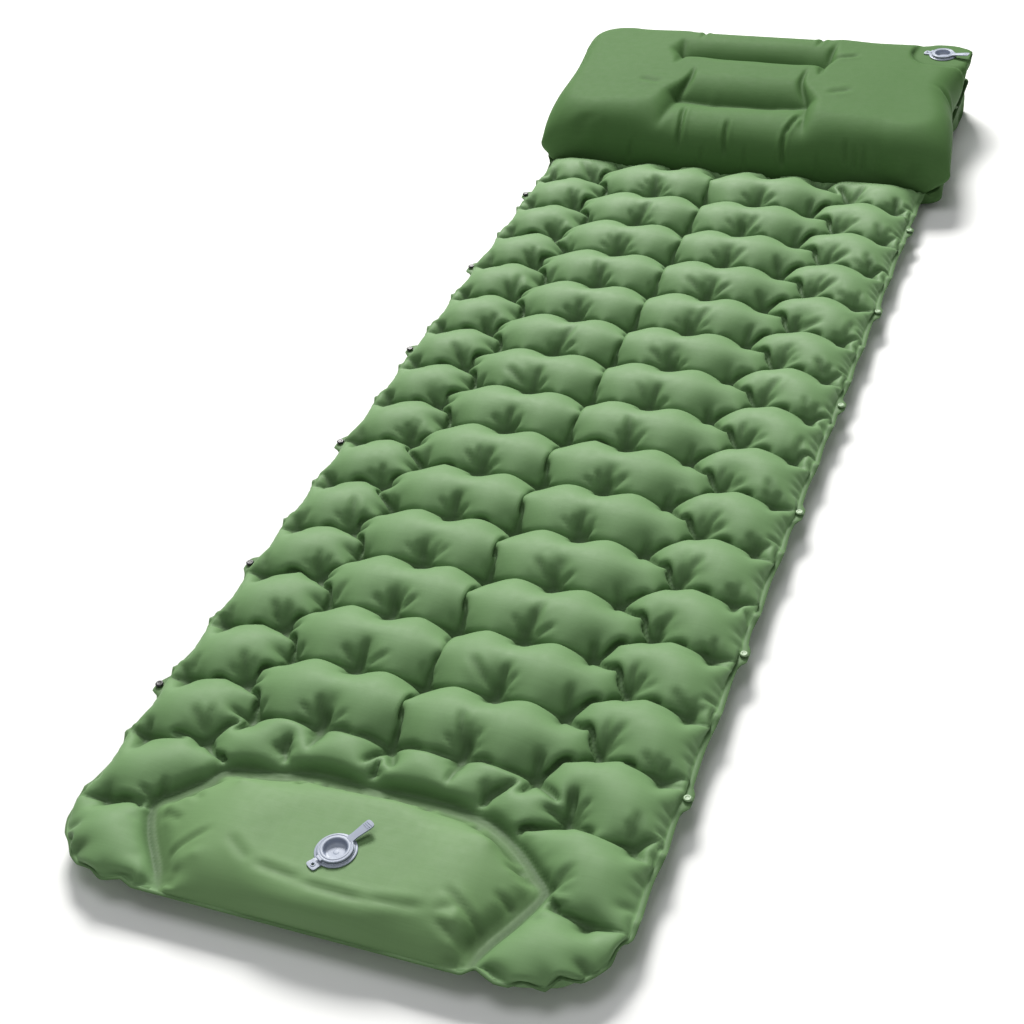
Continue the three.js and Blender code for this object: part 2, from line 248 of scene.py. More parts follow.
def share_along(x, y, start, end, guard=0.0):
    """How far along a segment the nearest point lies, 0 to 1, and the segment's vector."""
    dx, dy = end[0] - start[0], end[1] - start[1]
    dot = (x - start[0]) * dx + (y - start[1]) * dy
    return np.clip(dot / (dx * dx + dy * dy + guard), 0, 1), dx, dy


def line_distance(x, y, line):
    best = np.full(x.shape, 1e9)
    for start, end in zip(line[:-1], line[1:]):
        t, dx, dy = share_along(x, y, start, end, guard=1e-12)
        best = np.minimum(best, np.hypot(x - start[0] - t * dx, y - start[1] - t * dy))
    return best


def nearest_on(places, line):
    best = np.full(len(places), 1e9)
    out = places.astype(float).copy()
    for start, end in zip(line[:-1], line[1:]):
        t, dx, dy = share_along(places[:, 0], places[:, 1], start, end)
        foot = np.stack([start[0] + t * dx, start[1] + t * dy], -1)
        gap = np.hypot(*(places - foot).T)
        closer = gap < best
        best[closer] = gap[closer]
        out[closer] = foot[closer]
    return out


def inside(x, y, outline):
    """Even-odd test against a closed outline."""
    odd = np.zeros(x.shape, bool)
    for i, (x0, y0) in enumerate(outline):
        x1, y1 = outline[(i + 1) % len(outline)]
        spans = (y0 > y) != (y1 > y)
        crossing = (x1 - x0) * (y - y0) / ((y1 - y0) if y1 != y0 else 1e-9) + x0
        odd ^= spans & (x < crossing)
    return odd


def round_corners(x, y, left, right, edge_y, way, radius):
    """Bends a grid's two corners at edge_y into arcs; way is the outward sense of Y."""
    centre_y = edge_y - way * radius
    for side, reach in ((-1, -left), (1, right)):
        u = (side * x - (reach - radius)) / radius
        v = way * (y - centre_y) / radius
        corner = (u > 0) & (v > 0)
        u = np.clip(u, 0, 1)
        v = np.clip(v, 0, 1)
        x = np.where(corner, side * ((reach - radius) + radius * (u * np.sqrt(1 - v ** 2 / 2))), x)
        y = np.where(corner, centre_y + way * (radius * (v * np.sqrt(1 - u ** 2 / 2))), y)
    return np.stack([x, y], -1).astype(f32)


def border_mask(ny, nx):
    mask = np.zeros((ny, nx), bool)
    mask[[0, -1]] = True
    mask[:, [0, -1]] = True
    return mask


def resample(grid, ny, nx):
    """Bilinear resampling of a grid to ny by nx points."""
    rows = np.linspace(0, grid.shape[0] - 1, ny)
    cols = np.linspace(0, grid.shape[1] - 1, nx)
    y0 = np.clip(rows.astype(int), 0, grid.shape[0] - 2)
    x0 = np.clip(cols.astype(int), 0, grid.shape[1] - 2)
    fy = (rows - y0).astype(f32).reshape(-1, *([1] * (grid.ndim - 1)))
    fx = (cols - x0).astype(f32).reshape(1, -1, *([1] * (grid.ndim - 2)))
    a = grid[y0][:, x0]
    b = grid[y0][:, x0 + 1]
    c = grid[y0 + 1][:, x0]
    d = grid[y0 + 1][:, x0 + 1]
    return ((a * (1 - fx) + b * fx) * (1 - fy) + (c * (1 - fx) + d * fx) * fy).astype(f32)


def blur(grid, passes):
    """Repeated 1-2-1 smoothing of a grid."""
    for _ in range(passes):
        rows = grid.copy()
        rows[1:-1] = 0.25 * (grid[2:] + 2 * grid[1:-1] + grid[:-2])
        grid = rows.copy()
        grid[:, 1:-1] = 0.25 * (rows[:, 2:] + 2 * rows[:, 1:-1] + rows[:, :-2])
    return grid


def normals(points):
    """Area-weighted normals of a grid of points."""
    du = np.empty_like(points)
    dv = np.empty_like(points)
    du[:, 1:-1] = points[:, 2:] - points[:, :-2]
    du[:, 0] = 2 * (points[:, 1] - points[:, 0])
    du[:, -1] = 2 * (points[:, -1] - points[:, -2])
    dv[1:-1] = points[2:] - points[:-2]
    dv[0] = 2 * (points[1] - points[0])
    dv[-1] = 2 * (points[-1] - points[-2])
    n = np.empty_like(points)
    n[..., 0] = du[..., 1] * dv[..., 2] - du[..., 2] * dv[..., 1]
    n[..., 1] = du[..., 2] * dv[..., 0] - du[..., 0] * dv[..., 2]
    n[..., 2] = du[..., 0] * dv[..., 1] - du[..., 1] * dv[..., 0]
    return n * 0.25


def unit_normals(points):
    n = normals(points.astype(f32))
    n /= np.linalg.norm(n, axis=-1, keepdims=True) + 1e-9
    return n


# ---------------------------------------------------------------------------
# Membrane solver: a nearly inextensible sheet on a grid, pinned at its welds and
# pushed out by air pressure
# ---------------------------------------------------------------------------
def grid_edges(ny, nx):
    """Edge sets as (kind, start slices, end slices); no point occurs twice in a set."""
    s = slice
    out = []
    for o in (0, 1):
        out.append(("across", (s(None), s(o, nx - 1, 2)), (s(None), s(o + 1, nx, 2))))
        out.append(("along", (s(o, ny - 1, 2), s(None)), (s(o + 1, ny, 2), s(None))))
    for oy in (0, 1):
        for ox in (0, 1):
            lower, upper = s(oy, ny - 1, 2), s(oy + 1, ny, 2)
            left, right = s(ox, nx - 1, 2), s(ox + 1, nx, 2)
            out.append(("diagonal", (lower, left), (upper, right)))
            out.append(("diagonal", (lower, right), (upper, left)))
    return out


def flat_lengths(flat, across, along):
    """Rest lengths from a flat grid stretched by across (X) and along (Y)."""
    out = []
    for _, a, b in grid_edges(*flat.shape[:2]):
        d = flat[b] - flat[a]
        sx = 0.5 * (across[a] + across[b])
        sy = 0.5 * (along[a] + along[b])
        out.append(np.sqrt((d[..., 0] * sx) ** 2 + (d[..., 1] * sy) ** 2).astype(f32))
    return out


def shape_lengths(shape, across, along):
    """Rest lengths from a shape in space, stretched along the grid's two directions."""
    out = []
    for kind, a, b in grid_edges(*shape.shape[:2]):
        sx = 0.5 * (across[a] + across[b])
        sy = 0.5 * (along[a] + along[b])
        stretch = {"across": sx, "along": sy, "diagonal": 0.5 * (sx + sy)}[kind]
        out.append((np.linalg.norm(shape[b] - shape[a], axis=-1) * stretch).astype(f32))
    return out


def pull_edges(points, movable, a, b, length, stretched, squeezed):
    """Moves edge ends towards the rest length, by separate shares when long and short."""
    start = points[a]
    end = points[b]
    d = end - start
    now = np.sqrt((d * d).sum(-1)) + 1e-9
    wa = movable[a]
    wb = movable[b]
    error = (now - length) / now
    share = np.where(error > 0, stretched, squeezed)
    move = (share * error / (wa + wb + 1e-9))[..., None] * d
    start += move * wa[..., None]
    end -= move * wb[..., None]


def laplacian(grid):
    out = np.zeros_like(grid)
    out[:, 1:-1] += grid[:, 2:] + grid[:, :-2] - 2 * grid[:, 1:-1]
    out[1:-1] += grid[2:] + grid[:-2] - 2 * grid[1:-1]
    return out


def relax(points, rest_grid, lengths, pins, steps, pressure, bending, *,
          squeeze, shear, damping, limit, lift, bend_share):
    """Runs the solver; lift and bend_share scale pressure and bending per point."""
    edges = grid_edges(*points.shape[:2])
    pinned, places = pins
    movable = np.where(pinned, 0, 1).astype(f32)
    velocity = np.zeros_like(points)
    spacing = float(np.median(np.linalg.norm(rest_grid[:, 1:] - rest_grid[:, :-1], axis=-1)))
    free = (movable * lift)[..., None]
    for _ in range(steps):
        velocity += normals(points) * (pressure / (spacing * spacing)) * free
        velocity *= damping
        before = points.copy()
        points += velocity
        for (kind, a, b), length in zip(edges, lengths):
            if kind == "diagonal":
                pull_edges(points, movable, a, b, length, shear, shear * squeeze)
            else:
                pull_edges(points, movable, a, b, length, 1.0, squeeze)
        curl = laplacian(laplacian(points))
        points -= bending * curl * (movable * bend_share)[..., None]
        limit(points)
        points[pinned] = places
        velocity = points - before
    return points


# ---------------------------------------------------------------------------
# The mat's top sheet
# ---------------------------------------------------------------------------
# grid spacing, steps, pressure, bending
MAT_LEVELS = ((13.333, 420, 0.07, 0.02), (6.667, 300, 0.02, 0.008), (3.333, 190, 0.006, 0.003))
CORNER_RADIUS = 88.0
# weld line that closes off the foot pump's chamber: column, row
PUMP_WELD = curve_through([grid_point(*p) for p in (
    (-.38, -2.80), (-.50, -2.45), (-.68, -2.02), (-.76, -1.68), (-.64, -1.42), (-.52, -1.18),
    (-.44, -.99), (-.14, -.88), (.15, -.78), (.47, -.80), (.91, -.78), (1.25, -.84), (1.46, -1.0),
    (1.60, -1.17), (1.74, -1.40), (1.84, -1.62), (1.76, -2.02), (1.66, -2.4), (1.61, -2.76))], 5)
# puckers along the side seams, in grid rows
TUCKS_RIGHT = [k + o for k, o in zip(range(-2, 15), (
    .30, .22, .10, .35, .51, .11, .33, .10, .25, .15, .28, .2, .3, .22, .3, .25, .3))]
TUCKS_LEFT = [k + .30 + .07 * math.sin(2.3 * k + 1.0) for k in range(-2, 15)]
# puckers round the foot corners: x, y, depth
TUCKS_FOOT = ((-283, -896, 9), (-268, -937, 5), (-232, -962, 6), (-196, -971, 5),
              (313, -906, 6), (276, -957, 9), (243, -966, 8), (196, -970, 9))
# small dots behind the pump's weld: column, row, height above the seam plane
PUMP_DOTS = ((-.14, -.60, 8), (.50, -.64, 6), (1.28, -.60, 6))


def mat_dots():
    """Weld dots: x, y, height above the seam plane, radius."""
    dots = []
    for k in range(0, 15):
        for column, z in ((-.5, 0), (0, 8), (.5, 0), (1., 8), (1.5, 0)):
            dots.append((*grid_point(column, k - .16), z, 6.0))
    for k in range(-1, 14):
        dots.append((-199.0, row_y(k + .34), 0, 6.5))
        dots.append((217.0, row_y(k + .34), 0, 6.0))
    for k in range(-1, 15):
        dots.append((-270.0, row_y(k + .20), 1, 5.0))
        dots.append((292.0, row_y(k + .18), 2, 5.0))
    dots.append((-262.0, -880.0, 1, 5.0))
    dots.append((276.0, -890.0, 1, 5.0))
    dots += [(*grid_point(column, row), z, 4.0) for column, row, z in PUMP_DOTS]
    return dots


def mat_grid(spacing):
    nx = int(round((MAT_RIGHT - MAT_LEFT) / spacing)) + 1
    ny = int(round((JOIN_Y - FOOT_Y) / spacing)) + 1
    x, y = np.meshgrid(np.linspace(MAT_LEFT, MAT_RIGHT, nx), np.linspace(FOOT_Y, JOIN_Y, ny))
    return round_corners(x, y, MAT_LEFT, MAT_RIGHT, FOOT_Y, -1, CORNER_RADIUS)


def scallop(y, tucks):
    """How far the seam is pulled in between tucks (0 at a tuck), and the gap to a tuck."""
    t = np.array(sorted(tucks)) * ROW + ROW_0_Y
    k = np.clip(np.searchsorted(t, y) - 1, 0, len(t) - 2)
    s = np.clip((y - t[k]) / (t[k + 1] - t[k]), 0, 1)      # 0 at the foot-side tuck
    pull = np.sin(np.pi * s) * (0.35 + 0.65 * s ** 2)
    return pull, np.min(np.abs(y[..., None] - t), -1)


def near_snap(y, side, flat, blend):
    """1 beside a snap on this side of the mat, 0 away from it."""
    gap = np.min(np.abs(y[..., None] - np.array([q[1] for q in SNAPS[side]])), -1)
    return ease((flat + blend - gap) / blend)


def mat_border_offsets(flat):
    """How the weld line moves from its flat outline when the mat is blown up."""
    ny, nx = flat.shape[:2]
    off = np.zeros((ny, nx, 3), f32)
    # column, side, tucks, depth of the scallops, shift of the whole seam
    for col, side, tucks, depth, shift in ((0, -1, TUCKS_LEFT, 11.0, 2.0),
                                           (nx - 1, 1, TUCKS_RIGHT, 6.5, 0.0)):
        y = flat[:, col, 1].astype(float)
        pull, gap = scallop(y, tucks)
        fade = ease((JOIN_Y - y) / 60) * ease((y - FOOT_Y - 60) / 60)
        tuck = np.clip(1 - gap / 12.0, 0, 1)
        calm = 1 - near_snap(y, side, 9.0, 16.0)
        off[:, col, 0] += (-side * (depth * pull * fade) - side * shift * fade).astype(f32)
        off[:, col, 2] += ((4.5 * tuck ** 1.3 - 2.5 * pull) * fade * calm).astype(f32)
    border = border_mask(ny, nx)
    inward_x, inward_y = 12.0 - flat[..., 0] * 0.75, FOOT_Y + 230 - flat[..., 1]
    inward = np.hypot(inward_x, inward_y)
    for x, y, depth in TUCKS_FOOT:
        w = np.clip(1 - np.hypot(flat[..., 0] - x, flat[..., 1] - y) / 17.0, 0, 1) * border
        off[..., 0] += (w * depth * inward_x / inward).astype(f32)
        off[..., 1] += (w * depth * inward_y / inward).astype(f32)
        off[..., 2] += (w * 4.0).astype(f32)
    return off


def mat_stretch(flat, side_gap, foot_gap, weld_gap, in_pump):
    """Spare fabric in X and Y, as factors on the flat lengths."""
    spare = np.clip(np.minimum(side_gap, foot_gap) / 40, 0.6, 1)
    across = 1 + 0.07 * spare
    along = 1 + 0.17 * spare
    # walls rise steeply from the side and foot seams
    foot_wall = 0.45 * np.clip(1 - foot_gap / 34, 0, 1)
    across += 0.22 * np.clip(1 - side_gap / 30, 0, 1)
    along += foot_wall
    rise = np.clip(1 - weld_gap / 30, 0, 1)
    across = np.where(in_pump, 1.02 + 0.06 * rise, across)
    along = np.where(in_pump, 1.035 + 0.10 * rise + foot_wall, along)
    # the foot corners are gathered less
    corners = ease((-835.0 - flat[..., 1]) / 45) * np.where(in_pump, 0.0, 1.0)
    along = 1 + (along - 1) * (1 - 0.45 * corners)
    across = 1 + (across - 1) * (1 - 0.15 * corners)
    return across.astype(f32), along.astype(f32)


def mat_pins(flat, spacing, weld_gap):
    """Mask and places of the points held by dots, the pump's weld and the border."""
    ny, nx = flat.shape[:2]
    pinned = np.zeros((ny, nx), bool)
    places = np.zeros((ny, nx, 3), f32)
    for x, y, z, radius in mat_dots():
        dot = ((flat[..., 0] - x) ** 2 + (flat[..., 1] - y) ** 2
               < max(radius, spacing * 0.75) ** 2)
        pinned |= dot
        places[dot, :2] = flat[dot]
        places[dot, 2] = SEAM_Z + z
    weld = weld_gap < spacing * 0.712
    places[weld, :2] = flat[weld] + 0.82 * (nearest_on(flat[weld], PUMP_WELD) - flat[weld])
    places[weld, 2] = SEAM_Z
    border = border_mask(ny, nx)
    places[border, :2] = flat[border]
    places[border, 2] = SEAM_Z
    places[border] += mat_border_offsets(flat)[border]
    pinned |= weld | border
    return pinned, places[pinned]


def mat_limit(flat):
    """Keeps the sheet above the foam, on the valve's flange and under a ceiling."""
    x, y = flat[..., 0], flat[..., 1]
    foam = ((x > foam_lo[0]) & (x < foam_hi[0])
            & (y > foam_lo[1] - 4) & (y < foam_hi[1] + 2))
    gap = np.hypot(x - PUMP_VALVE[0], y - PUMP_VALVE[1])
    hold = ease(1 - (gap - 20) / 14)
    hold = np.maximum(hold, 0.03 * ease(1 - (gap - 20) / 80)).astype(f32)
    valve_z = f32(PUMP_VALVE[2] - 0.1)
    ceiling = f32(SEAM_Z + 36)

    def limit(points):
        z = points[..., 2]
        z[foam] = np.maximum(z[foam], f32(PUMP_VALVE[2] - 2.0))
        z += hold * (valve_z - z)
        np.minimum(z, ceiling + (z - ceiling) * f32(0.5), out=z, where=z > ceiling)

    return limit


def shape_weld(points, weld_gap, edge_gap, spacing):
    """Irons out ripples beside the pump's weld and rounds the valley over it."""
    inner = ease((edge_gap / spacing - 0.5) / 3.0)
    strip = (ease((19.0 - weld_gap) / 8.0) * inner)[..., None].astype(f32)
    for _ in range(16):
        points = points + 0.6 * strip * (blur(points, 1) - points)
    x, y = points[..., 0].astype(float), points[..., 1].astype(float)
    gap = line_distance(x, y, PUMP_WELD)
    within = inside(x, y, PUMP_WELD)
    w = np.where(within, ease((27.0 - gap) / 17.0), ease((15.0 - gap) / 9.0)) * inner
    slope = np.where(within, 0.62, 1.1) * ease(edge_gap / 22.0 + 0.15)
    sag = np.where(within, 36.0, 30.0)
    valley = SEAM_Z - 0.6 + slope * (np.sqrt(gap * gap + sag) - np.sqrt(sag))
    points[..., 2] = points[..., 2] * (1 - w) + valley * w
    return points


def solve_mat():
    rng = np.random.default_rng(7)
    points = None
    for spacing, steps, pressure, bending in MAT_LEVELS[:LEVELS]:
        flat = mat_grid(spacing)
        ny, nx = flat.shape[:2]
        if points is None:
            points = np.full((ny, nx, 3), SEAM_Z + 6, f32)
            points[..., :2] = flat
        else:
            points = resample(points, ny, nx)
        points[..., 2] += rng.normal(0, 0.05 * spacing, (ny, nx)).astype(f32)
        side_gap = (np.minimum(np.arange(nx), nx - 1 - np.arange(nx)) * spacing)[None, :]
        foot_gap = (np.arange(ny) * spacing)[:, None]
        weld_gap = line_distance(flat[..., 0], flat[..., 1], PUMP_WELD)
        in_pump = inside(flat[..., 0], flat[..., 1], PUMP_WELD)
        stretch = mat_stretch(flat, side_gap, foot_gap, weld_gap, in_pump)
        # the pump's panel is stiffer, and takes half the pressure
        stiff = 1 + (min(0.027 / bending, 5.0) - 1) * ease(weld_gap / 22)
        points = relax(points, flat, flat_lengths(flat, *stretch),
                       mat_pins(flat, spacing, weld_gap), steps, pressure, bending,
                       squeeze=0.4, shear=0.4, damping=0.94, limit=mat_limit(flat),
                       lift=np.where(in_pump, 0.5, 1.0).astype(f32),
                       bend_share=np.where(in_pump, stiff, 1.0).astype(f32))
    return shape_weld(points, weld_gap, np.minimum(side_gap, foot_gap), spacing), flat


# ---------------------------------------------------------------------------
# Creases and valleys pressed into a finished sheet
# ---------------------------------------------------------------------------
def creases(points, flat, items):
    """Presses in short creases: flat start x, y, end x, y, depth, half width."""
    n = unit_normals(points)
    out = points.copy()
    x = flat[..., 0].astype(float)
    y = flat[..., 1].astype(float)
    for x0, y0, x1, y1, depth, half in items:
        dx, dy = x1 - x0, y1 - y0
        length = math.hypot(dx, dy)
        t = ((x - x0) * dx + (y - y0) * dy) / (length * length)
        gap = np.abs((x - x0) * dy - (y - y0) * dx) / length
        along = ease(np.clip(np.minimum(t, 1 - t) * 3.2, 0, 1) * (t > 0) * (t < 1))
        cut = np.exp(-(gap / half) ** 1.4)
        lip = np.exp(-((gap - 2.3 * half) / (1.1 * half)) ** 2)
        out += ((-depth * cut + 0.28 * depth * lip) * along)[..., None].astype(f32) * n
    return out


def sharpen(points, passes, amount, limit):
    """Deepens the valleys between cells, where the sheet is pinched together."""
    n = unit_normals(points)
    d = ((points - blur(points, passes)) * n).sum(-1)
    d = np.clip(d * amount, -limit, 0.0)
    ny, nx = d.shape
    side = np.minimum(np.arange(nx), nx - 1 - np.arange(nx))[None, :]
    edge = np.minimum(side, np.arange(ny)[:, None])
    return points + (d * ease((edge - 3) / 6.0))[..., None].astype(f32) * n


# on the pump's panel: column, row, direction in degrees, length, depth
PUMP_CREASES = (
    (.13, -.80, -98, 34, 4.2), (.44, -.82, -84, 30, 4.4), (.92, -.80, -80, 30, 4.2),
    (1.30, -.90, -110, 24, 2.6), (-.30, -.95, -80, 22, 2.4), (-.62, -1.42, -28, 46, 2.0),
    (-.72, -1.75, -20, 50, 2.2), (-.50, -2.40, 36, 66, 2.2), (1.64, -2.35, 152, 66, 3.0),
    (1.60, -2.60, 158, 58, 2.4), (1.76, -1.95, 165, 34, 2.6), (1.72, -1.42, 196, 30, 2.6),
    (.62, -.80, -70, 22, 3.0), (.24, -.79, -112, 20, 2.6))
# over the foam block's foot edge: start x, y, end x, y, depth, half width
FOAM_CREASES = (
    (-62, -927, 4, -933, 2.4, 4.0), (-10, -934, 78, -937, 2.8, 3.6),
    (60, -936, 132, -931, 2.2, 4.0), (-98, -905, -58, -930, 1.6, 4.5),
    (128, -934, 160, -914, 1.6, 4.5))


def mat_creases():
    """Creases where the sheet gathers round its weld dots and on the pump's panel."""
    rng = np.random.default_rng(23)
    out = []

    def gather(x, y, middle, spread, count, lengths, depths, half=3.5):
        """A fan of uneven creases within spread degrees of the middle; one is bigger."""
        jitter = rng.uniform(-0.34, 0.34, count) * 2 * spread / count
        angles = middle - spread + 2 * spread * (np.arange(count) + 0.5) / count + jitter
        big = rng.integers(0, count)
        for i, angle in enumerate(angles):
            angle = math.radians(angle)
            size = 1.15 if i == big else 0.85
            k = 1.0 if i == big else rng.uniform(0.45, 0.95)
            r0 = rng.uniform(5.5, 9.0)
            r1 = r0 + (lengths[0] + (lengths[1] - lengths[0]) * rng.uniform(0, 1)) * size
            out.append((x + r0 * math.cos(angle), y + r0 * math.sin(angle),
                        x + r1 * math.cos(angle + 0.05 * rng.normal()),
                        y + r1 * math.sin(angle),
                        depths[0] + (depths[1] - depths[0]) * k, half * size))

    for k in range(0, 15):
        for column in (0.0, 1.0):
            x, y = grid_point(column, k - .16)
            gather(x, y, 90 + rng.uniform(-6, 6), 62, int(rng.integers(3, 6)),
                   (18, 42), (1.2, 3.2))
            gather(x, y, -90, 55, 2, (8, 16), (0.6, 1.6), 3.2)
            out.append((x, y + 1, x + rng.uniform(-3, 3), y + 40, 2.5, 7.0))
        for column in (-.5, .5, 1.5):
            x, y = grid_point(column, k - .16)
            gather(x, y, 90, 40, int(rng.integers(1, 4)), (10, 28), (1.0, 2.6))
    for k in range(-1, 14):
        y = row_y(k + .34)
        gather(-199.0, y, 122, 40, int(rng.integers(2, 5)), (18, 40), (1.2, 3.0))
        gather(217.0, y, 56, 44, int(rng.integers(3, 5)), (18, 42), (1.2, 3.2))
    for k in range(-1, 15):
        gather(-270.0, row_y(k + .20), 98, 30, int(rng.integers(1, 3)), (12, 24), (1.2, 2.4))
        gather(292.0, row_y(k + .18), 112, 36, int(rng.integers(2, 4)), (14, 34), (1.4, 3.2))
    for column, row, _ in PUMP_DOTS:
        gather(*grid_point(column, row), 92, 78, 4, (8, 20), (1.0, 2.2))
    for column, row, angle, length, depth in PUMP_CREASES:
        x, y = grid_point(column, row)
        ca, sa = math.cos(math.radians(angle)), math.sin(math.radians(angle))
        out.append((x + 5 * ca, y + 5 * sa, x + length * ca, y + length * sa, depth, 3.6))
    # foot corners
    for x, side in ((-205, -1), (222, 1)):
        gather(x, -869, 90 - side * 75, 60, 4, (22, 46), (1.8, 3.4), 3.0)
    return out + list(FOAM_CREASES)


# ---------------------------------------------------------------------------
# The pillow's top panel: solved over the shape of a fully inflated cushion
# ---------------------------------------------------------------------------
# grid spacing, steps, pressure, bending
PILLOW_LEVELS = ((12.0, 320, 0.05, 0.03), (6.0, 220, 0.014, 0.012), (3.0, 110, 0.0045, 0.006))
PILLOW_CORNER_RADIUS = 30.0
GROOVE_REACH = 74.0                        # how far a groove's dip spreads
# weld lines of the head rest: x, y, depth below the crown
GROOVES = (
    ((-215, 862, 0), (-182, 868, 6), (-150, 871, 17), (-80, 872, 24), (60, 870, 24),
     (108, 868, 19), (140, 869, 7), (180, 878, 0)),
    ((-196, 792, 0), (-172, 762, 4), (-146, 730, 12), (-112, 714, 21), (-50, 713, 25),
     (50, 716, 25), (106, 720, 21), (138, 736, 11), (158, 770, 4), (176, 804, 0)))
# start x, y, end x, y, depth, half width
PILLOW_CREASES = (
    (-90, 700, -78, 622, 6.2, 3.4), (-8, 676, -1, 618, 4.8, 3.2), (106, 698, 92, 652, 5.8, 3.4),
    (92, 664, 96, 612, 5.6, 3.2), (-226, 664, -232, 622, 2.6, 3.4),
    (194, 656, 197, 620, 2.2, 3.6), (207, 650, 211, 616, 2.2, 3.6),
    (221, 652, 223, 612, 2.0, 3.6), (262, 644, 268, 606, 2.8, 3.4),
    (-160, 640, -164, 606, 1.8, 3.0), (150, 640, 153, 606, 1.6, 3.0),
    (30, 640, 33, 604, 1.8, 2.8), (-40, 636, -42, 606, 1.6, 2.8), (272, 806, 318, 742, 5.0, 4.2),
    (-132, 948, -128, 914, 3.4, 3.2), (86, 946, 78, 912, 4.4, 3.2),
    (-20, 956, -19, 930, 1.8, 3.0), (290, 890, 322, 862, 4.0, 4.0),
    (-284, 902, -316, 886, 4.2, 4.2), (-288, 838, -316, 830, 2.6, 4.0),
    (120, 868, 168, 888, 3.0, 5.0), (-150, 738, -196, 752, 2.4, 6.0),
    (140, 742, 184, 762, 2.4, 6.0))


def pillow_grid(spacing):
    nx = int(round((PILLOW_RIGHT - PILLOW_LEFT) / spacing)) + 1
    ny = int(round((HEAD_Y - JOIN_Y) / spacing)) + 1
    u, y = np.meshgrid(np.linspace(0, 1, nx), np.linspace(JOIN_Y, HEAD_Y, ny))
    # the left side slants from the mat's weld line to the pillow's
    slant = np.clip((HEAD_Y - 60 - y) / (HEAD_Y - 60 - JOIN_Y), 0, 1)
    left = PILLOW_LEFT + (MAT_LEFT - PILLOW_LEFT) * slant
    x = left + (PILLOW_RIGHT - left) * u
    return round_corners(x, y, PILLOW_LEFT, PILLOW_RIGHT, HEAD_Y, 1, PILLOW_CORNER_RADIUS)


def crest(flat):
    """Height of the pillow's crown."""
    x = flat[..., 0] / 330.0
    y = (flat[..., 1] - 805.0) / 190.0
    return PILLOW_TOP_Z + 7.0 - 6.0 * y ** 2 - 5.0 * x ** 2


def pillow_seam(flat):
    """Seam height, rising from the mat's seam plane to the pillow's."""
    return SEAM_Z + (PILLOW_SEAM_Z - SEAM_Z) * ease((flat[..., 1] - JOIN_Y) / 90)


def groove_dip(x, y):
    """Depth of the head rest's weld lines: two rolls meeting in a sharp valley."""
    dip = np.zeros(x.shape)
    for line in GROOVES:
        best = np.full(x.shape, 1e9)
        deep = np.zeros(x.shape)
        for start, end in zip(line[:-1], line[1:]):
            t, dx, dy = share_along(x, y, start, end)
            gap = np.hypot(x - start[0] - t * dx, y - start[1] - t * dy)
            closer = gap < best
            best = np.where(closer, gap, best)
            deep = np.where(closer, start[2] + (end[2] - start[2]) * t, deep)
        width = GROOVE_REACH * (0.35 + 0.65 * deep / 25.0)
        dip = np.maximum(dip, deep * np.clip(1 - best / width, 0, 1) ** 2.2)
    return dip


def wall(gap, width):
    """Rounded wall: angle up it, horizontal shift, share of full height."""
    angle = 0.5 * math.pi * np.clip(gap / width, 0, 1)
    shift = np.where(gap < width, width * (1 - np.cos(angle)) - gap, 0.0)
    return angle, shift, np.sin(angle)


def cushion(flat):
    """Inflated shape over the flat grid: rounded walls that stand out past the seam."""
    ny, nx = flat.shape[:2]
    from_left = np.arange(nx)[None, :] * (float(PILLOW_RIGHT - PILLOW_LEFT) / (nx - 1))
    from_left = from_left * np.ones((ny, 1))
    from_mat = np.arange(ny)[:, None] * (float(HEAD_Y - JOIN_Y) / (ny - 1)) * np.ones((1, nx))
    from_right = (nx - 1) * (float(PILLOW_RIGHT - PILLOW_LEFT) / (nx - 1)) - from_left
    from_head = (ny - 1) * (float(HEAD_Y - JOIN_Y) / (ny - 1)) - from_mat

    # 1 near the mat, near the head and on the right
    front = 1 - ease((flat[..., 1] - JOIN_Y - 30) / 230)
    rear = ease((flat[..., 1] - 790.0) / 110)
    right = ease((flat[..., 0] - 170.0) / 90)
    bulge_left = 34.0 + 3.0 * front
    bulge_right = 24.0 + 20.0 * front + 8.0 * rear
    angle_l, shift_l, rise_l = wall(from_left, 84.0 - 14.0 * rear)
    angle_r, shift_r, rise_r = wall(from_right, 74.0 - 34.0 * rear)
    angle_h, shift_h, rise_h = wall(from_head, 60.0 - 14.0 * right)
    angle_m, shift_m, rise_m = wall(from_mat, 116.0)
    height = rise_l * rise_r * rise_h * rise_m
    fade_x = np.minimum(rise_h ** 0.6, np.clip(rise_m * 2.6, 0, 1) ** 0.5)
    fade_y = np.minimum(np.clip(rise_l * 1.3, 0, 1), np.clip(rise_r * 1.3, 0, 1)) ** 0.6
    bulge = bulge_left * np.sin(2 * angle_l) - bulge_right * np.sin(2 * angle_r)
    x = flat[..., 0] + shift_l - shift_r - bulge * fade_x
    # the front corners stand out past the mat, the right one further
    out = ease(from_mat / 26.0) * (1 - ease((flat[..., 1] - 640.0) / 150))
    x = x + 13.0 * out * np.clip(1 - from_right / 130.0, 0, 1)
    x = x - 6.0 * out * np.clip(1 - from_left / 130.0, 0, 1)
    bulge = 9.0 * np.sin(2 * angle_m) - 17.0 * np.sin(2 * angle_h)
    y = flat[..., 1] + 0.55 * shift_m - shift_h - bulge * fade_y
    dip = groove_dip(flat[..., 0].astype(float), flat[..., 1].astype(float))
    z = pillow_seam(flat) * (1 - height) + crest(flat) * height - dip * height
    return np.stack([x, y, z], -1).astype(f32)


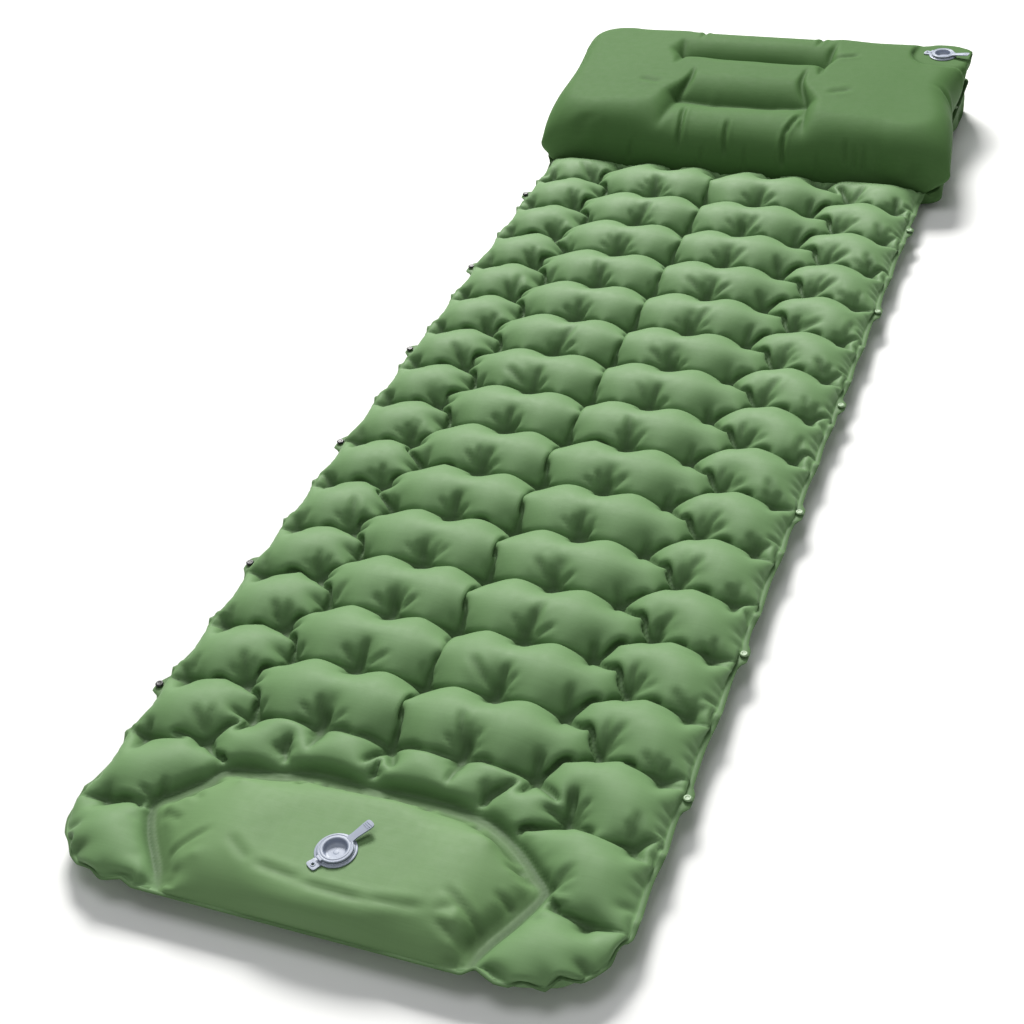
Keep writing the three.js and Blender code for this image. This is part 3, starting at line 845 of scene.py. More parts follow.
def pillow_pins(flat, shape, spacing):
    """Mask and places of the points held by the grooves and the border."""
    pinned = border = border_mask(*flat.shape[:2])
    for line in GROOVES:
        core = [(x, y) for x, y, depth in line if depth > 16]
        gap = line_distance(flat[..., 0], flat[..., 1], core)
        pinned = pinned | (gap < max(1.7, spacing * 0.71))
    places = shape.copy()
    places[border, 2] = pillow_seam(flat)[border]
    return pinned, places[pinned]


def pillow_limit(flat):
    """Holds the sheet at the valve's flange, under a ceiling and off the mat."""
    ny, nx = flat.shape[:2]
    first_row, first_col = int(ny * 0.55), int(nx * 0.72)   # the valve's part of the grid
    valve_z = f32(PILLOW_VALVE[2] - 0.1)
    ceiling = (crest(flat) + 5.0).astype(f32)

    def limit(points):
        z = points[..., 2]
        q = points[first_row:, first_col:]
        gap = np.hypot(q[..., 0] - PILLOW_VALVE[0], q[..., 1] - PILLOW_VALVE[1])
        hold = ease(1 - (gap - 21.0) / 30.0) * ease((q[..., 2] - 80.0) / 14.0)
        q[..., 2] += (hold * (valve_z - q[..., 2])).astype(f32)
        np.minimum(z, ceiling + (z - ceiling) * f32(0.7), out=z, where=z > ceiling)
        points[..., 1] = np.maximum(points[..., 1], f32(JOIN_Y - 30))

    return limit


def solve_pillow():
    rng = np.random.default_rng(11)
    points = None
    for spacing, steps, pressure, bending in PILLOW_LEVELS[:LEVELS]:
        flat = pillow_grid(spacing)
        ny, nx = flat.shape[:2]
        shape = cushion(flat)
        points = shape.copy() if points is None else resample(points, ny, nx)
        points[..., 2] += rng.normal(0, 0.02 * spacing, (ny, nx)).astype(f32)
        across = np.full((ny, nx), 1.010, f32)
        along = np.full((ny, nx), 1.014, f32)
        ones = np.ones((ny, nx), f32)
        points = relax(points, shape, shape_lengths(shape, across, along),
                       pillow_pins(flat, shape, spacing), steps, pressure, bending,
                       squeeze=0.25, shear=0.35, damping=0.93, limit=pillow_limit(flat),
                       lift=ones, bend_share=ones)
    return points, flat


# ---------------------------------------------------------------------------
# Mesh building
# ---------------------------------------------------------------------------
def add_object(name, data):
    ob = bpy.data.objects.new(name, data)
    bpy.context.scene.collection.objects.link(ob)
    return ob


def assign(ob, *materials):
    ob.data.materials.clear()
    for material in materials:
        ob.data.materials.append(material)


def publish(ob, materials, body, slot, nodes):
    """Gives an object its materials and tells the frame what it is."""
    assign(ob, *materials)
    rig.ride(ob, body)
    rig.slot(ob, slot)
    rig.replaces(ob, *nodes)
    return ob


def cavity(points, passes=5, full=1.1):
    """How deep each point lies in a narrow valley, 0 to 1; the mask of the painted shade in the valleys."""
    d = ((points - blur(points, passes)) * unit_normals(points)).sum(-1)
    d[:2] = d[-2:] = 0
    d[:, :2] = d[:, -2:] = 0
    return blur(np.clip(-d / full, 0, 1).astype(f32), 2)


def make_mesh(name, verts, quads, shade_mask=None, shared_normals=None):
    """Smooth object from an array of quads; vertices no quad uses are left out.

    The valley mask fills the attribute of painted valley shade. A zero in shared_normals keeps a vertex's own.
    """
    me = bpy.data.meshes.new(name)
    used = np.unique(quads)
    remap = np.full(len(verts), -1, np.int64)
    remap[used] = np.arange(len(used))
    v = (np.asarray(verts, np.float64) / MM).astype(f32)[used]
    q = remap[quads]
    me.vertices.add(len(v))
    me.vertices.foreach_set("co", v.ravel())
    me.loops.add(q.size)
    me.loops.foreach_set("vertex_index", q.ravel().astype(np.int32))
    me.polygons.add(len(q))
    me.polygons.foreach_set("loop_start", (np.arange(len(q)) * 4).astype(np.int32))
    me.polygons.foreach_set("loop_total", np.full(len(q), 4, np.int32))
    me.update(calc_edges=True)
    me.validate()
    me.polygons.foreach_set("use_smooth", np.full(len(me.polygons), True))
    if shade_mask is not None:
        # points past the grid, the flange's, get a fixed half strength of painted shade
        c = np.full(len(verts), 0.5, f32)
        c[:shade_mask.size] = shade_mask.ravel()
        layer = me.attributes.new("cavity", "FLOAT", "POINT")
        layer.data.foreach_set("value", c[used][:len(me.vertices)])
    # the normals fit only if validate() removed no vertex
    if shared_normals is not None and len(me.vertices) == len(used):
        full = np.zeros((len(verts), 3))
        full[:len(shared_normals)] = shared_normals
        me.normals_split_custom_set_from_vertices(full[used].tolist())
    return add_object(name, me)


def grid_quads(ny, nx):
    i = np.arange(ny * nx).reshape(ny, nx)
    return np.stack([i[:-1, :-1], i[:-1, 1:], i[1:, 1:], i[1:, :-1]], -1)


def mat_rim(ny, nx):
    """Border indices: down the left side from the join, along the foot, up the right."""
    i = np.arange(ny * nx).reshape(ny, nx)
    return np.concatenate([i[::-1, 0], i[0, 1:], i[1:, -1]])


def pillow_rim(ny, nx):
    """Border indices: up the right side from the join, along the head, down the left."""
    i = np.arange(ny * nx).reshape(ny, nx)
    return np.concatenate([i[:, -1], i[-1, -2::-1], i[-2::-1, 0]])


def rim_normals(border):
    """Outward horizontal directions along an open counter-clockwise border."""
    t = np.gradient(border[:, :2], axis=0)
    k = np.ones(7) / 7
    t = np.stack([np.convolve(np.pad(t[:, c], 3, mode="edge"), k, "valid") for c in (0, 1)], -1)
    n = np.stack([t[:, 1], -t[:, 0]], -1)
    return n / (np.linalg.norm(n, axis=1, keepdims=True) + 1e-9)


def add_flange(verts, quads, rim, width, droop, top):
    """Adds the welded strip outside the border; top and bottom share its outer edge."""
    border = verts[rim]
    n = rim_normals(border)
    sense = 1.0 if top else -1.0
    rows = [rim]
    added = []
    # share of the width, half thickness
    for share, half in ((0.12, 0.45), (0.55, 0.45), (0.96, 0.45), (1.0, 0.0)):
        r = np.empty((len(rim), 3))
        r[:, :2] = border[:, :2] + n * width[:, None] * share
        r[:, 2] = border[:, 2] + sense * half + droop * share
        rows.append(len(verts) + np.arange(len(rim)) + len(rim) * len(added))
        added.append(r)
    strips = []
    for a, b in zip(rows[:-1], rows[1:]):
        strip = np.stack([a[:-1], b[:-1], b[1:], a[1:]], -1)
        strips.append(strip if top else strip[:, ::-1])
    return np.concatenate([verts] + added), np.concatenate([quads] + strips)


def cut_hole(points, centre):
    """Moves points near a valve hole's edge onto it; returns which quads stay."""
    dx = points[..., 0] - centre[0]
    dy = points[..., 1] - centre[1]
    d = np.hypot(dx, dy)
    h = float(np.median(np.linalg.norm(points[:, 1:] - points[:, :-1], axis=-1)))
    near = (d > HOLE_RADIUS - 0.55 * h) & (d < HOLE_RADIUS + 0.75 * h)
    k = np.where(near, HOLE_RADIUS / np.maximum(d, 1e-6), 1.0)
    points[..., 0] = centre[0] + dx * k
    points[..., 1] = centre[1] + dy * k
    d = np.hypot(points[..., 0] - centre[0], points[..., 1] - centre[1])
    corners = np.stack([d[:-1, :-1], d[:-1, 1:], d[1:, 1:], d[1:, :-1]], -1)
    return (corners > HOLE_RADIUS - 0.06).all(-1)


# ---------------------------------------------------------------------------
# Materials
# ---------------------------------------------------------------------------
class Shader:
    """A material with a Principled surface, and short ways to add nodes."""

    def __init__(self, name):
        self.material = bpy.data.materials.new(name)
        self.material.use_nodes = True
        self.tree = self.material.node_tree
        self.tree.nodes.clear()
        self.out = self.node("ShaderNodeOutputMaterial")
        self.surface = self.node("ShaderNodeBsdfPrincipled")
        self.link(self.surface.outputs[0], self.out.inputs[0])

    def node(self, kind, **settings):
        node = self.tree.nodes.new(kind)
        for key, value in settings.items():
            setattr(node, key, value)
        return node

    def link(self, source, target):
        self.tree.links.new(source, target)

    def feed(self, target, value):
        """Links a socket, or sets a number or a colour."""
        if isinstance(value, (int, float)):
            target.default_value = value
        elif isinstance(value, tuple):
            target.default_value = (*value, 1)
        else:
            self.link(value, target)

    def coords(self):
        return self.node("ShaderNodeTexCoord").outputs["Object"]

    def math(self, operation, *values):
        node = self.node("ShaderNodeMath", operation=operation)
        for i, value in enumerate(values):
            self.feed(node.inputs[i], value)
        return node.outputs[0]

    def noise(self, vector, scale, detail, rough):
        node = self.node("ShaderNodeTexNoise")
        node.inputs["Scale"].default_value = scale
        node.inputs["Detail"].default_value = detail
        node.inputs["Roughness"].default_value = rough
        self.link(vector, node.inputs["Vector"])
        return node.outputs["Fac"]

    def mapping(self, vector, scale):
        node = self.node("ShaderNodeMapping")
        node.inputs["Scale"].default_value = scale
        self.link(vector, node.inputs["Vector"])
        return node.outputs[0]

    def mix(self, factor, first, second):
        node = self.node("ShaderNodeMix", data_type="RGBA", blend_type="MIX")
        for i, value in ((0, factor), (6, first), (7, second)):
            self.feed(node.inputs[i], value)
        return node.outputs[2]

    def bump(self, height, strength, distance, normal=None):
        node = self.node("ShaderNodeBump")
        node.inputs["Strength"].default_value = strength
        node.inputs["Distance"].default_value = distance
        self.link(height, node.inputs["Height"])
        if normal is not None:
            self.link(normal, node.inputs["Normal"])
        return node.outputs[0]


def shade(color, factor, lift=0.0):
    return tuple(min(1, x * factor + lift) for x in color)


def nylon(name, base, tint, rough=0.60, specular=0.27, sheen=0.05):
    """Coated plain-weave nylon: fine cross threads, a soft crease noise, a slight sheen."""
    s = Shader(name)
    co = s.coords()
    axes = s.node("ShaderNodeSeparateXYZ")
    s.link(co, axes.inputs[0])
    # plain weave drawn as a product of two waves; the period is in metres
    period = 0.00072
    wave_x = s.math("SINE", s.math("MULTIPLY", axes.outputs[0], 2 * math.pi / period))
    wave_y = s.math("SINE", s.math("MULTIPLY", axes.outputs[1], 2 * math.pi / period))
    weave = s.math("MULTIPLY_ADD", s.math("MULTIPLY", wave_x, wave_y), 0.5, 0.5)
    # faint thread lines across the mat, fainter ones along it
    weft = s.noise(s.mapping(co, (6, 520, 60)), scale=1.0, detail=3, rough=0.6)
    warp = s.noise(s.mapping(co, (420, 5, 60)), scale=1.0, detail=2, rough=0.5)
    blot = s.noise(co, scale=7.0, detail=4, rough=0.55)
    fine = s.noise(co, scale=90.0, detail=3, rough=0.6)
    color = s.mix(s.math("MULTIPLY_ADD", blot, 0.9, 0.05), base, tint)
    color = s.mix(s.math("MULTIPLY", weft, 0.30), color, shade(base, 0.62))
    color = s.mix(s.math("MULTIPLY", warp, 0.10), color, shade(base, 1.45))
    color = s.mix(s.math("MULTIPLY", weave, 0.07), color, shade(base, 1.5))
    # painted sheen: the colour turns paler where the fabric turns away from the eye
    facing = s.node("ShaderNodeLayerWeight")
    facing.inputs[0].default_value = 0.35
    color = s.mix(s.math("MULTIPLY", facing.outputs["Facing"], 0.22), color,
                  shade(base, 1.35, 0.01))
    # painted shade: the colour turns to a deep, saturated green in the valleys, where shade falls
    valley = s.node("ShaderNodeAttribute", attribute_name="cavity").outputs["Fac"]
    color = s.mix(s.math("MULTIPLY", s.math("POWER", valley, 1.2), 0.72), color,
                  (base[0] * 0.11, base[1] * 0.17, base[2] * 0.07))
    inputs = s.surface.inputs
    s.link(color, inputs["Base Color"])
    s.link(s.math("MULTIPLY_ADD", fine, 0.16, rough - 0.08), inputs["Roughness"])
    inputs["Specular IOR Level"].default_value = specular
    inputs["Sheen Weight"].default_value = sheen
    inputs["Sheen Roughness"].default_value = 0.45
    inputs["Sheen Tint"].default_value = (0.75, 0.95, 0.7, 1)
    bump = s.bump(weave, strength=0.10, distance=0.00025)
    bump = s.bump(weft, strength=0.10, distance=0.0006, normal=bump)
    bump = s.bump(fine, strength=0.08, distance=0.0012, normal=bump)
    bump = s.bump(blot, strength=0.10, distance=0.010, normal=bump)
    s.link(bump, inputs["Normal"])
    return s.material


def plastic(name, base, rough=0.42, grain=0.06, edge=0.25):
    """Blotched, finely grained plastic with paler edges; edge is how much paler."""
    s = Shader(name)
    co = s.coords()
    fine = s.noise(co, scale=900.0, detail=2, rough=0.5)
    blot = s.noise(co, scale=60.0, detail=3, rough=0.5)
    color = s.mix(s.math("MULTIPLY", blot, 0.35), base, shade(base, 0.86))
    pointiness = s.node("ShaderNodeNewGeometry").outputs["Pointiness"]
    # black to white between these values
    ramp = s.node("ShaderNodeValToRGB")
    ramp.color_ramp.elements[0].position = 0.50
    ramp.color_ramp.elements[1].position = 0.58
    s.link(pointiness, ramp.inputs[0])
    color = s.mix(s.math("MULTIPLY", ramp.outputs[0], edge), color, shade(base, 1.35, 0.03))
    inputs = s.surface.inputs
    s.link(color, inputs["Base Color"])
    s.link(s.math("MULTIPLY_ADD", blot, 0.14, rough - 0.07), inputs["Roughness"])
    s.link(s.bump(fine, strength=grain, distance=0.0003), inputs["Normal"])
    return s.material


def foam_material(name, base):
    s = Shader(name)
    co = s.coords()
    cells = s.node("ShaderNodeTexVoronoi")
    cells.inputs["Scale"].default_value = 700
    s.link(co, cells.inputs["Vector"])
    distance = cells.outputs["Distance"]
    s.link(s.mix(distance, shade(base, 0.7), base), s.surface.inputs["Base Color"])
    s.surface.inputs["Roughness"].default_value = 0.95
    s.link(s.bump(distance, strength=0.5, distance=0.001), s.surface.inputs["Normal"])
    return s.material


MAT_NYLON = nylon("nylon_mat", base=(0.125, 0.235, 0.092), tint=(0.165, 0.290, 0.125))
PUMP_NYLON = nylon("nylon_pump", base=(0.132, 0.242, 0.094), tint=(0.170, 0.292, 0.124))
PILLOW_NYLON = nylon("nylon_pillow", base=(0.060, 0.138, 0.038), tint=(0.090, 0.176, 0.062),
                     rough=0.66, specular=0.10, sheen=0.02)
VALVE = plastic("valve_plastic", (0.32, 0.36, 0.45))
# painted shade: a dark copy of the valve plastic, for the cap's sunken bowl where shade falls
BOWL_PAINTED_SHADE = plastic("valve_plastic_bowl", (0.075, 0.092, 0.145), rough=0.5, grain=0.05, edge=0.15)
SILICONE = plastic("silicone", (0.62, 0.66, 0.70), rough=0.5, grain=0.03, edge=0.1)
SNAP_BLACK = plastic("snap_black", (0.016, 0.016, 0.018), rough=0.35, grain=0.04, edge=0.3)
SNAP_GREEN = plastic("snap_green", (0.20, 0.32, 0.16), rough=0.4, grain=0.04, edge=0.3)
FILM = plastic("inner_film", (0.62, 0.66, 0.62), rough=0.3, grain=0.03, edge=0.05)
FOAM = foam_material("foam", (0.72, 0.68, 0.58))

# ---------------------------------------------------------------------------
# Mat: top sheet, pump panel, bottom sheet
# ---------------------------------------------------------------------------
MAT_DROOP = -1.2                           # drop of the flange's outer edge
mat, mat_flat = solve_mat()
mat = creases(sharpen(mat, passes=6, amount=1.5, limit=3.0), mat_flat, mat_creases())
ny, nx = mat.shape[:2]
inner = ~border_mask(ny, nx)
# a flat band at seam height along the pump's weld
weld_gap = line_distance(mat[..., 0].astype(float), mat[..., 1].astype(float), PUMP_WELD)
mat[..., 2] += ease((5.6 - weld_gap) / 2.8) * inner * (SEAM_Z - mat[..., 2])
keep = cut_hole(mat, PUMP_VALVE)
mat_verts = mat.reshape(-1, 3).astype(np.float64)
mat_quads = grid_quads(ny, nx)
middles = 0.25 * (mat_flat[:-1, :-1] + mat_flat[:-1, 1:] + mat_flat[1:, 1:] + mat_flat[1:, :-1])
pump_quads = inside(middles[..., 0], middles[..., 1], PUMP_WELD)
rim = mat_rim(ny, nx)


def mat_flange_width():
    """Flange width along the rim: narrow at the foot, wider round the side snaps."""
    x, y = mat_flat.reshape(-1, 2)[rim].T
    on_side = (x > MAT_RIGHT - 1.0) | (x < MAT_LEFT + 1.0)
    straight = np.where(on_side, 1.0, 0.0) * ease((y - FOOT_Y - 40) / 80)
    side = np.where(x > 0, 1, -1)
    width = 3.4 + (np.where(side > 0, 6.0, 4.8) - 3.4) * straight
    for s in (-1, 1):
        near = near_snap(y, s, 7.0, 12.0) * straight
        reach = abs(SNAPS[s][0][0]) + 5.6 - np.abs(mat_verts[rim, 0])
        width = np.where(side == s, width * (1 - near) + np.maximum(reach, 4.0) * near, width)
    return width


flange_width = mat_flange_width()
# painted shade mask: the valleys' depth, plus a dark line of painted shade along the pump's weld
shade_mask = np.clip(cavity(mat) + 0.30 * np.exp(-(weld_gap / 4.5) ** 2), 0, 1)
# the two pieces share their normals beside the weld
weld_normals = normals(mat).astype(np.float64)
weld_normals /= np.linalg.norm(weld_normals, axis=-1, keepdims=True) + 1e-12
weld_normals = (weld_normals * ((weld_gap < 9.0) & inner)[..., None]).reshape(-1, 3)

top_verts, top_quads = add_flange(mat_verts, mat_quads[~pump_quads], rim, flange_width,
                                  MAT_DROOP, top=True)
pad_top = make_mesh("pad_top", top_verts, top_quads, shade_mask, weld_normals)
publish(pad_top, [MAT_NYLON], "mat", "coated_nylon", ["pad_top_sheet"])
pump_dome = make_mesh("pump_dome", mat_verts, mat_quads[pump_quads & keep], shade_mask, weld_normals)
publish(pump_dome, [PUMP_NYLON], "mat", "pump_nylon", ["pump_top_panel"])


def lowest_nearby(z):
    """Lowest height within three grid points."""
    for axis in (0, 1):
        margin = [(0, 0), (0, 0)]
        margin[axis] = (3, 3)
        padded = np.pad(z, margin, mode="edge")
        z = np.lib.stride_tricks.sliding_window_view(padded, 7, axis=axis).min(-1)
    return z


def build_mat_bottom():
    """The top's cells mirrored on a coarser grid and pressed flat by the floor."""
    step = 1 if QUICK else 2
    rows, cols = (ny - 1) // step + 1, (nx - 1) // step + 1
    whole = (ny - 1) % step == 0 and (nx - 1) % step == 0

    def coarse(grid):
        return grid[::step, ::step] if whole else resample(grid.astype(f32), rows, cols)

    points = coarse(mat).astype(np.float64)
    flat = coarse(mat_flat)
    under = coarse(lowest_nearby(mat[..., 2].astype(np.float64))).astype(np.float64)
    # seam height carried a little way in, so that top and bottom share the weld line
    i = np.arange(rows)[:, None]
    j = np.arange(cols)[None, :]
    spacing = (JOIN_Y - FOOT_Y) / (rows - 1)
    z = points[..., 2]
    seam = np.zeros((rows, cols))
    for edge_z, gap in ((z[:, :1], j * spacing), (z[:, -1:], (cols - 1 - j) * spacing),
                        (z[:1], i * spacing)):
        seam += (edge_z - SEAM_Z) * np.exp(-gap / 14.0)
    seam[:, 0] = z[:, 0] - SEAM_Z
    seam[:, -1] = z[:, -1] - SEAM_Z
    seam[0] = z[0] - SEAM_Z
    z = 2 * (SEAM_Z + seam) - z
    inset = np.minimum(np.minimum(i, rows - 1 - i), np.minimum(j, cols - 1 - j))
    z = np.where(inset > 0, np.minimum(z, under - np.where(inset > 2, 0.8, 0.3)), z)
    # soft landing on the floor
    floor_z, soft = 0.3, 5.0
    landing = floor_z + soft * np.exp(np.minimum((z - floor_z - soft) / soft, 0))
    z = np.where(z < floor_z + soft, landing, z)
    settle = soft * np.exp(-1.0) * np.clip(1 - (z - floor_z) / soft, 0, 1)
    points[..., 2] = np.maximum(z - settle, floor_z)
    verts = points.reshape(-1, 3)
    quads = grid_quads(rows, cols).reshape(-1, 4)[:, ::-1]
    # snap the coarser border to the finer one
    coarse_rim = mat_rim(rows, cols)

    def travel(grid, loop):
        hops = np.linalg.norm(np.diff(grid.reshape(-1, 2)[loop], axis=0), axis=1)
        return np.concatenate([[0], np.cumsum(hops)])

    fine = travel(mat_flat, rim)
    own = travel(flat, coarse_rim)
    own = own / own[-1] * fine[-1]
    for c in range(3):
        verts[coarse_rim, c] = np.interp(own, fine, mat_verts[rim, c])
    width = np.interp(own, fine, flange_width)
    verts, quads = add_flange(verts, quads, coarse_rim, width, MAT_DROOP, top=False)
    publish(make_mesh("pad_bottom", verts, quads), [MAT_NYLON], "mat", "coated_nylon",
            ["pad_bottom_sheet"])


build_mat_bottom()


# ---------------------------------------------------------------------------
# Pillow
# ---------------------------------------------------------------------------
def pillow_underside(smooth, creased, flat):
    """The top mirrored and softly pressed on the floor, with the top's own border."""
    points = smooth.astype(np.float64)
    seam = pillow_seam(flat)
    soft = 7.0
    t = (seam - (points[..., 2] - seam) * 1.12 - 0.3) / soft
    z = 0.3 + soft * np.where(t > 20, t, np.log1p(np.exp(np.minimum(t, 20))))
    # the underside doesn't repeat the top's front overhang
    points[..., 0] = flat[..., 0] + (points[..., 0] - flat[..., 0]) * 0.8
    points[..., 1] = np.maximum(points[..., 1] + (flat[..., 1] - points[..., 1]) * 0.35, JOIN_Y)
    points[..., 2] = np.minimum(z, np.maximum(smooth[..., 2] - 1.2, 0.3))
    border = border_mask(*flat.shape[:2])
    points[border] = creased[border]
    return points


def build_pillow():
    solved, flat = solve_pillow()
    border = border_mask(*flat.shape[:2])
    smooth = blur(solved, 2)
    smooth[border] = solved[border]
    creased = creases(solved, flat, PILLOW_CREASES)
    top = creased.copy()
    keep_quads = cut_hole(top, PILLOW_VALVE)
    quads = grid_quads(*flat.shape[:2])
    loop = pillow_rim(*flat.shape[:2])
    # the flange widens at both ends, where it meets the mat
    width = np.full(len(loop), 6.5)
    width[:6] = np.linspace(7.5, 6.5, 6)
    width[-6:] = np.linspace(6.5, 7.5, 6)
    under = pillow_underside(smooth, creased, flat)
    verts, faces = add_flange(top.reshape(-1, 3).astype(np.float64), quads[keep_quads], loop,
                              width, -1.0, top=True)
    # painted shade in the pillow's valleys and creases, at 0.6 strength
    publish(make_mesh("pillow_top", verts, faces, 0.6 * cavity(creased, 4, 1.0)),
            [PILLOW_NYLON], "mat", "coated_nylon", ["pillow_top_panel"])
    verts, faces = add_flange(under.reshape(-1, 3), quads.reshape(-1, 4)[:, ::-1], loop,
                              width, -1.0, top=False)
    publish(make_mesh("pillow_bottom", verts, faces), [PILLOW_NYLON], "mat", "coated_nylon",
            ["pillow_bottom_panel"])


build_pillow()


# ---------------------------------------------------------------------------
# Turned and plate parts
# ---------------------------------------------------------------------------
def rounded(profile, radius, closed):
    """Fillets the corners of a profile."""
    out = []
    m = len(profile)
    for i, p in enumerate(profile):
        if not closed and i in (0, m - 1) or p[0] < 1e-6:
            out.append(p)
            continue
        corner = np.array(p)
        va = np.array(profile[(i - 1) % m]) - corner
        vb = np.array(profile[(i + 1) % m]) - corner
        la, lb = np.linalg.norm(va), np.linalg.norm(vb)
        if la < 1e-6 or lb < 1e-6 or abs(np.cross(va / la, vb / lb)) < 0.12:
            out.append(p)
            continue
        q = min(radius, la * 0.42, lb * 0.42)
        p0 = corner + va / la * q
        p1 = corner + vb / lb * q
        for t in np.linspace(0, 1, 4):
            out.append(tuple((1 - t) ** 2 * p0 + 2 * t * (1 - t) * corner + t * t * p1))
    return out


def turn(bm, profile, fillet=0.28, closed=True, segments=112):
    """Profile of (radius, z) turned about Z; a zero radius makes a pole."""
    if fillet:
        profile = rounded(profile, fillet, closed)
    rings = []
    for r, z in profile:
        count = 1 if r < 1e-6 else segments
        angles = [2 * math.pi * i / segments for i in range(count)]
        r = 0 if count == 1 else r
        rings.append([bm.verts.new((r * math.cos(a), r * math.sin(a), z)) for a in angles])
    pairs = list(zip(rings[:-1], rings[1:]))
    if closed:
        pairs.append((rings[-1], rings[0]))
    for a, b in pairs:
        for i in range(segments):
            j = (i + 1) % segments
            f = [a[i % len(a)], a[j % len(a)], b[j % len(b)], b[i % len(b)]]
            f = [v for n, v in enumerate(f) if v not in f[:n]]
            if len(f) > 2:
                bm.faces.new(f)


def absorb(bm, part):
    """Moves a part's geometry into bm."""
    me = bpy.data.meshes.new("tmp")
    part.to_mesh(me)
    part.free()
    bm.from_mesh(me)
    bpy.data.meshes.remove(me)


def plate(bm, outline, z0, z1, tilt=None, bevel=0.35, hole=None):
    """Flat bar with bevelled rims; hole is (x, y, radius) and tilt bends the bar."""
    part = bmesh.new()
    loops = [outline]
    if hole:
        hx, hy, hr = hole
        angles = [2 * math.pi * i / 28 for i in range(28)]
        loops.append([(hx + hr * math.cos(a), hy + hr * math.sin(a)) for a in angles])
    edges = []
    for loop in loops:
        vs = [part.verts.new((x, y, z0)) for x, y in loop]
        edges += [part.edges.new((vs[i], vs[(i + 1) % len(vs)])) for i in range(len(vs))]
    bmesh.ops.triangle_fill(part, use_beauty=True, edges=edges)
    r = bmesh.ops.extrude_face_region(part, geom=list(part.faces))
    up = [g for g in r["geom"] if isinstance(g, bmesh.types.BMVert)]
    bmesh.ops.translate(part, vec=(0, 0, z1 - z0), verts=up)
    bmesh.ops.recalc_face_normals(part, faces=part.faces)
    sharp = [e for e in part.edges
             if len(e.link_faces) == 2 and e.calc_face_angle(0) > 0.9
             and abs(e.verts[0].co.z - e.verts[1].co.z) < 1e-6]
    bmesh.ops.bevel(part, geom=sharp, offset=bevel, segments=3, profile=0.6, affect="EDGES",
                    clamp_overlap=True)
    if tilt:
        for v in part.verts:
            v.co = tilt(v.co)
    absorb(bm, part)


def bar(x0, x1, half):
    return [(x0, -half), (x1, -half), (x1, half), (x0, half)]


def finish(bm, name, at, degrees, materials, body, slot, nodes, bowl_radius=0.0):
    """Places a part and makes its object; the bowl's faces take the second material, a darker plastic that paints the
    bowl's shade.
    """
    place = (Matrix.Translation(Vector((at[0] / MM, at[1] / MM, at[2] / MM)))
             @ Matrix.Rotation(math.radians(degrees), 4, "Z") @ Matrix.Scale(1 / MM, 4))
    bmesh.ops.remove_doubles(bm, verts=bm.verts, dist=1e-4)
    bmesh.ops.recalc_face_normals(bm, faces=bm.faces)
    if bowl_radius:
        for face in bm.faces:
            q = face.calc_center_median()
            if math.hypot(q.x, q.y) < bowl_radius and face.normal.z > -0.2 and q.z < 4.3:
                face.material_index = 1
    bm.transform(place)
    me = bpy.data.meshes.new(name)
    bm.to_mesh(me)
    bm.free()
    for p in me.polygons:
        p.use_smooth = True
    me.set_sharp_from_angle(angle=math.radians(38))
    return publish(add_object(name, me), materials, body, slot, nodes)


# ---------------------------------------------------------------------------
# Foam block
# ---------------------------------------------------------------------------
def build_foam():
    half_x, half_y = (foam_hi[0] - foam_lo[0]) / 2, (foam_hi[1] - foam_lo[1]) / 2
    x, y = (foam_hi[0] + foam_lo[0]) / 2, (foam_hi[1] + foam_lo[1]) / 2
    radius = 14
    outline = []
    for sx, sy, first in ((1, -1, -90), (1, 1, 0), (-1, 1, 90), (-1, -1, 180)):
        for i in range(9):
            a = math.radians(first + 90 * i / 8)
            outline.append((sx * (half_x - radius) + radius * math.cos(a),
                            sy * (half_y - radius) + radius * math.sin(a)))
    bm = bmesh.new()
    plate(bm, outline, foam_lo[2], foam_hi[2], bevel=2.5,
          hole=(PUMP_VALVE[0] - x, PUMP_VALVE[1] - y, 24.0))
    return finish(bm, "foam_block", (x, y, 0), 0, [FOAM], "mat", "foam", ["pump_foam"])


foam_block = build_foam()

# ---------------------------------------------------------------------------
# Valves, with z measured from the fabric's top. Profiles are (radius, z)
# ---------------------------------------------------------------------------
FLANGE_PROFILE = ((16.4, 0.3), (22.0, 0.3), (22.0, 1.35), (21.2, 1.7), (19.9, 1.75), (19.6, 2.1),
                  (19.3, 2.7), (18.6, 2.85), (16.4, 2.7))
EAR_OUTLINE = ((-20.4, 5.2), (-25, 6.3), (-29.0, 6.6), (-31.2, 5.0), (-31.8, 0), (-31.2, -5.0),
               (-29.0, -6.6), (-25, -6.3), (-20.4, -5.2))
EYELET_X = -26.8
EYELET_PROFILE = ((1.75, 1.6), (2.9, 1.6), (2.9, 2.25), (1.75, 2.25))
SEAT_BOTTOM, SEAT_TOP = -8.5, -7.1
NECK_PROFILE = ((14.35, SEAT_BOTTOM), (16.0, SEAT_BOTTOM), (16.0, 3.0), (14.35, 3.0))
SEAT_PROFILE = ((11.0, SEAT_BOTTOM), (14.6, SEAT_BOTTOM), (14.6, SEAT_TOP), (11.0, SEAT_TOP))
FLAP_PROFILE = ((0, -9.7), (12.6, -9.7), (12.6, -8.9), (11.2, -8.9), (11.0, -9.1), (3.0, -9.1),
                (2.6, -8.9), (0, -8.9))
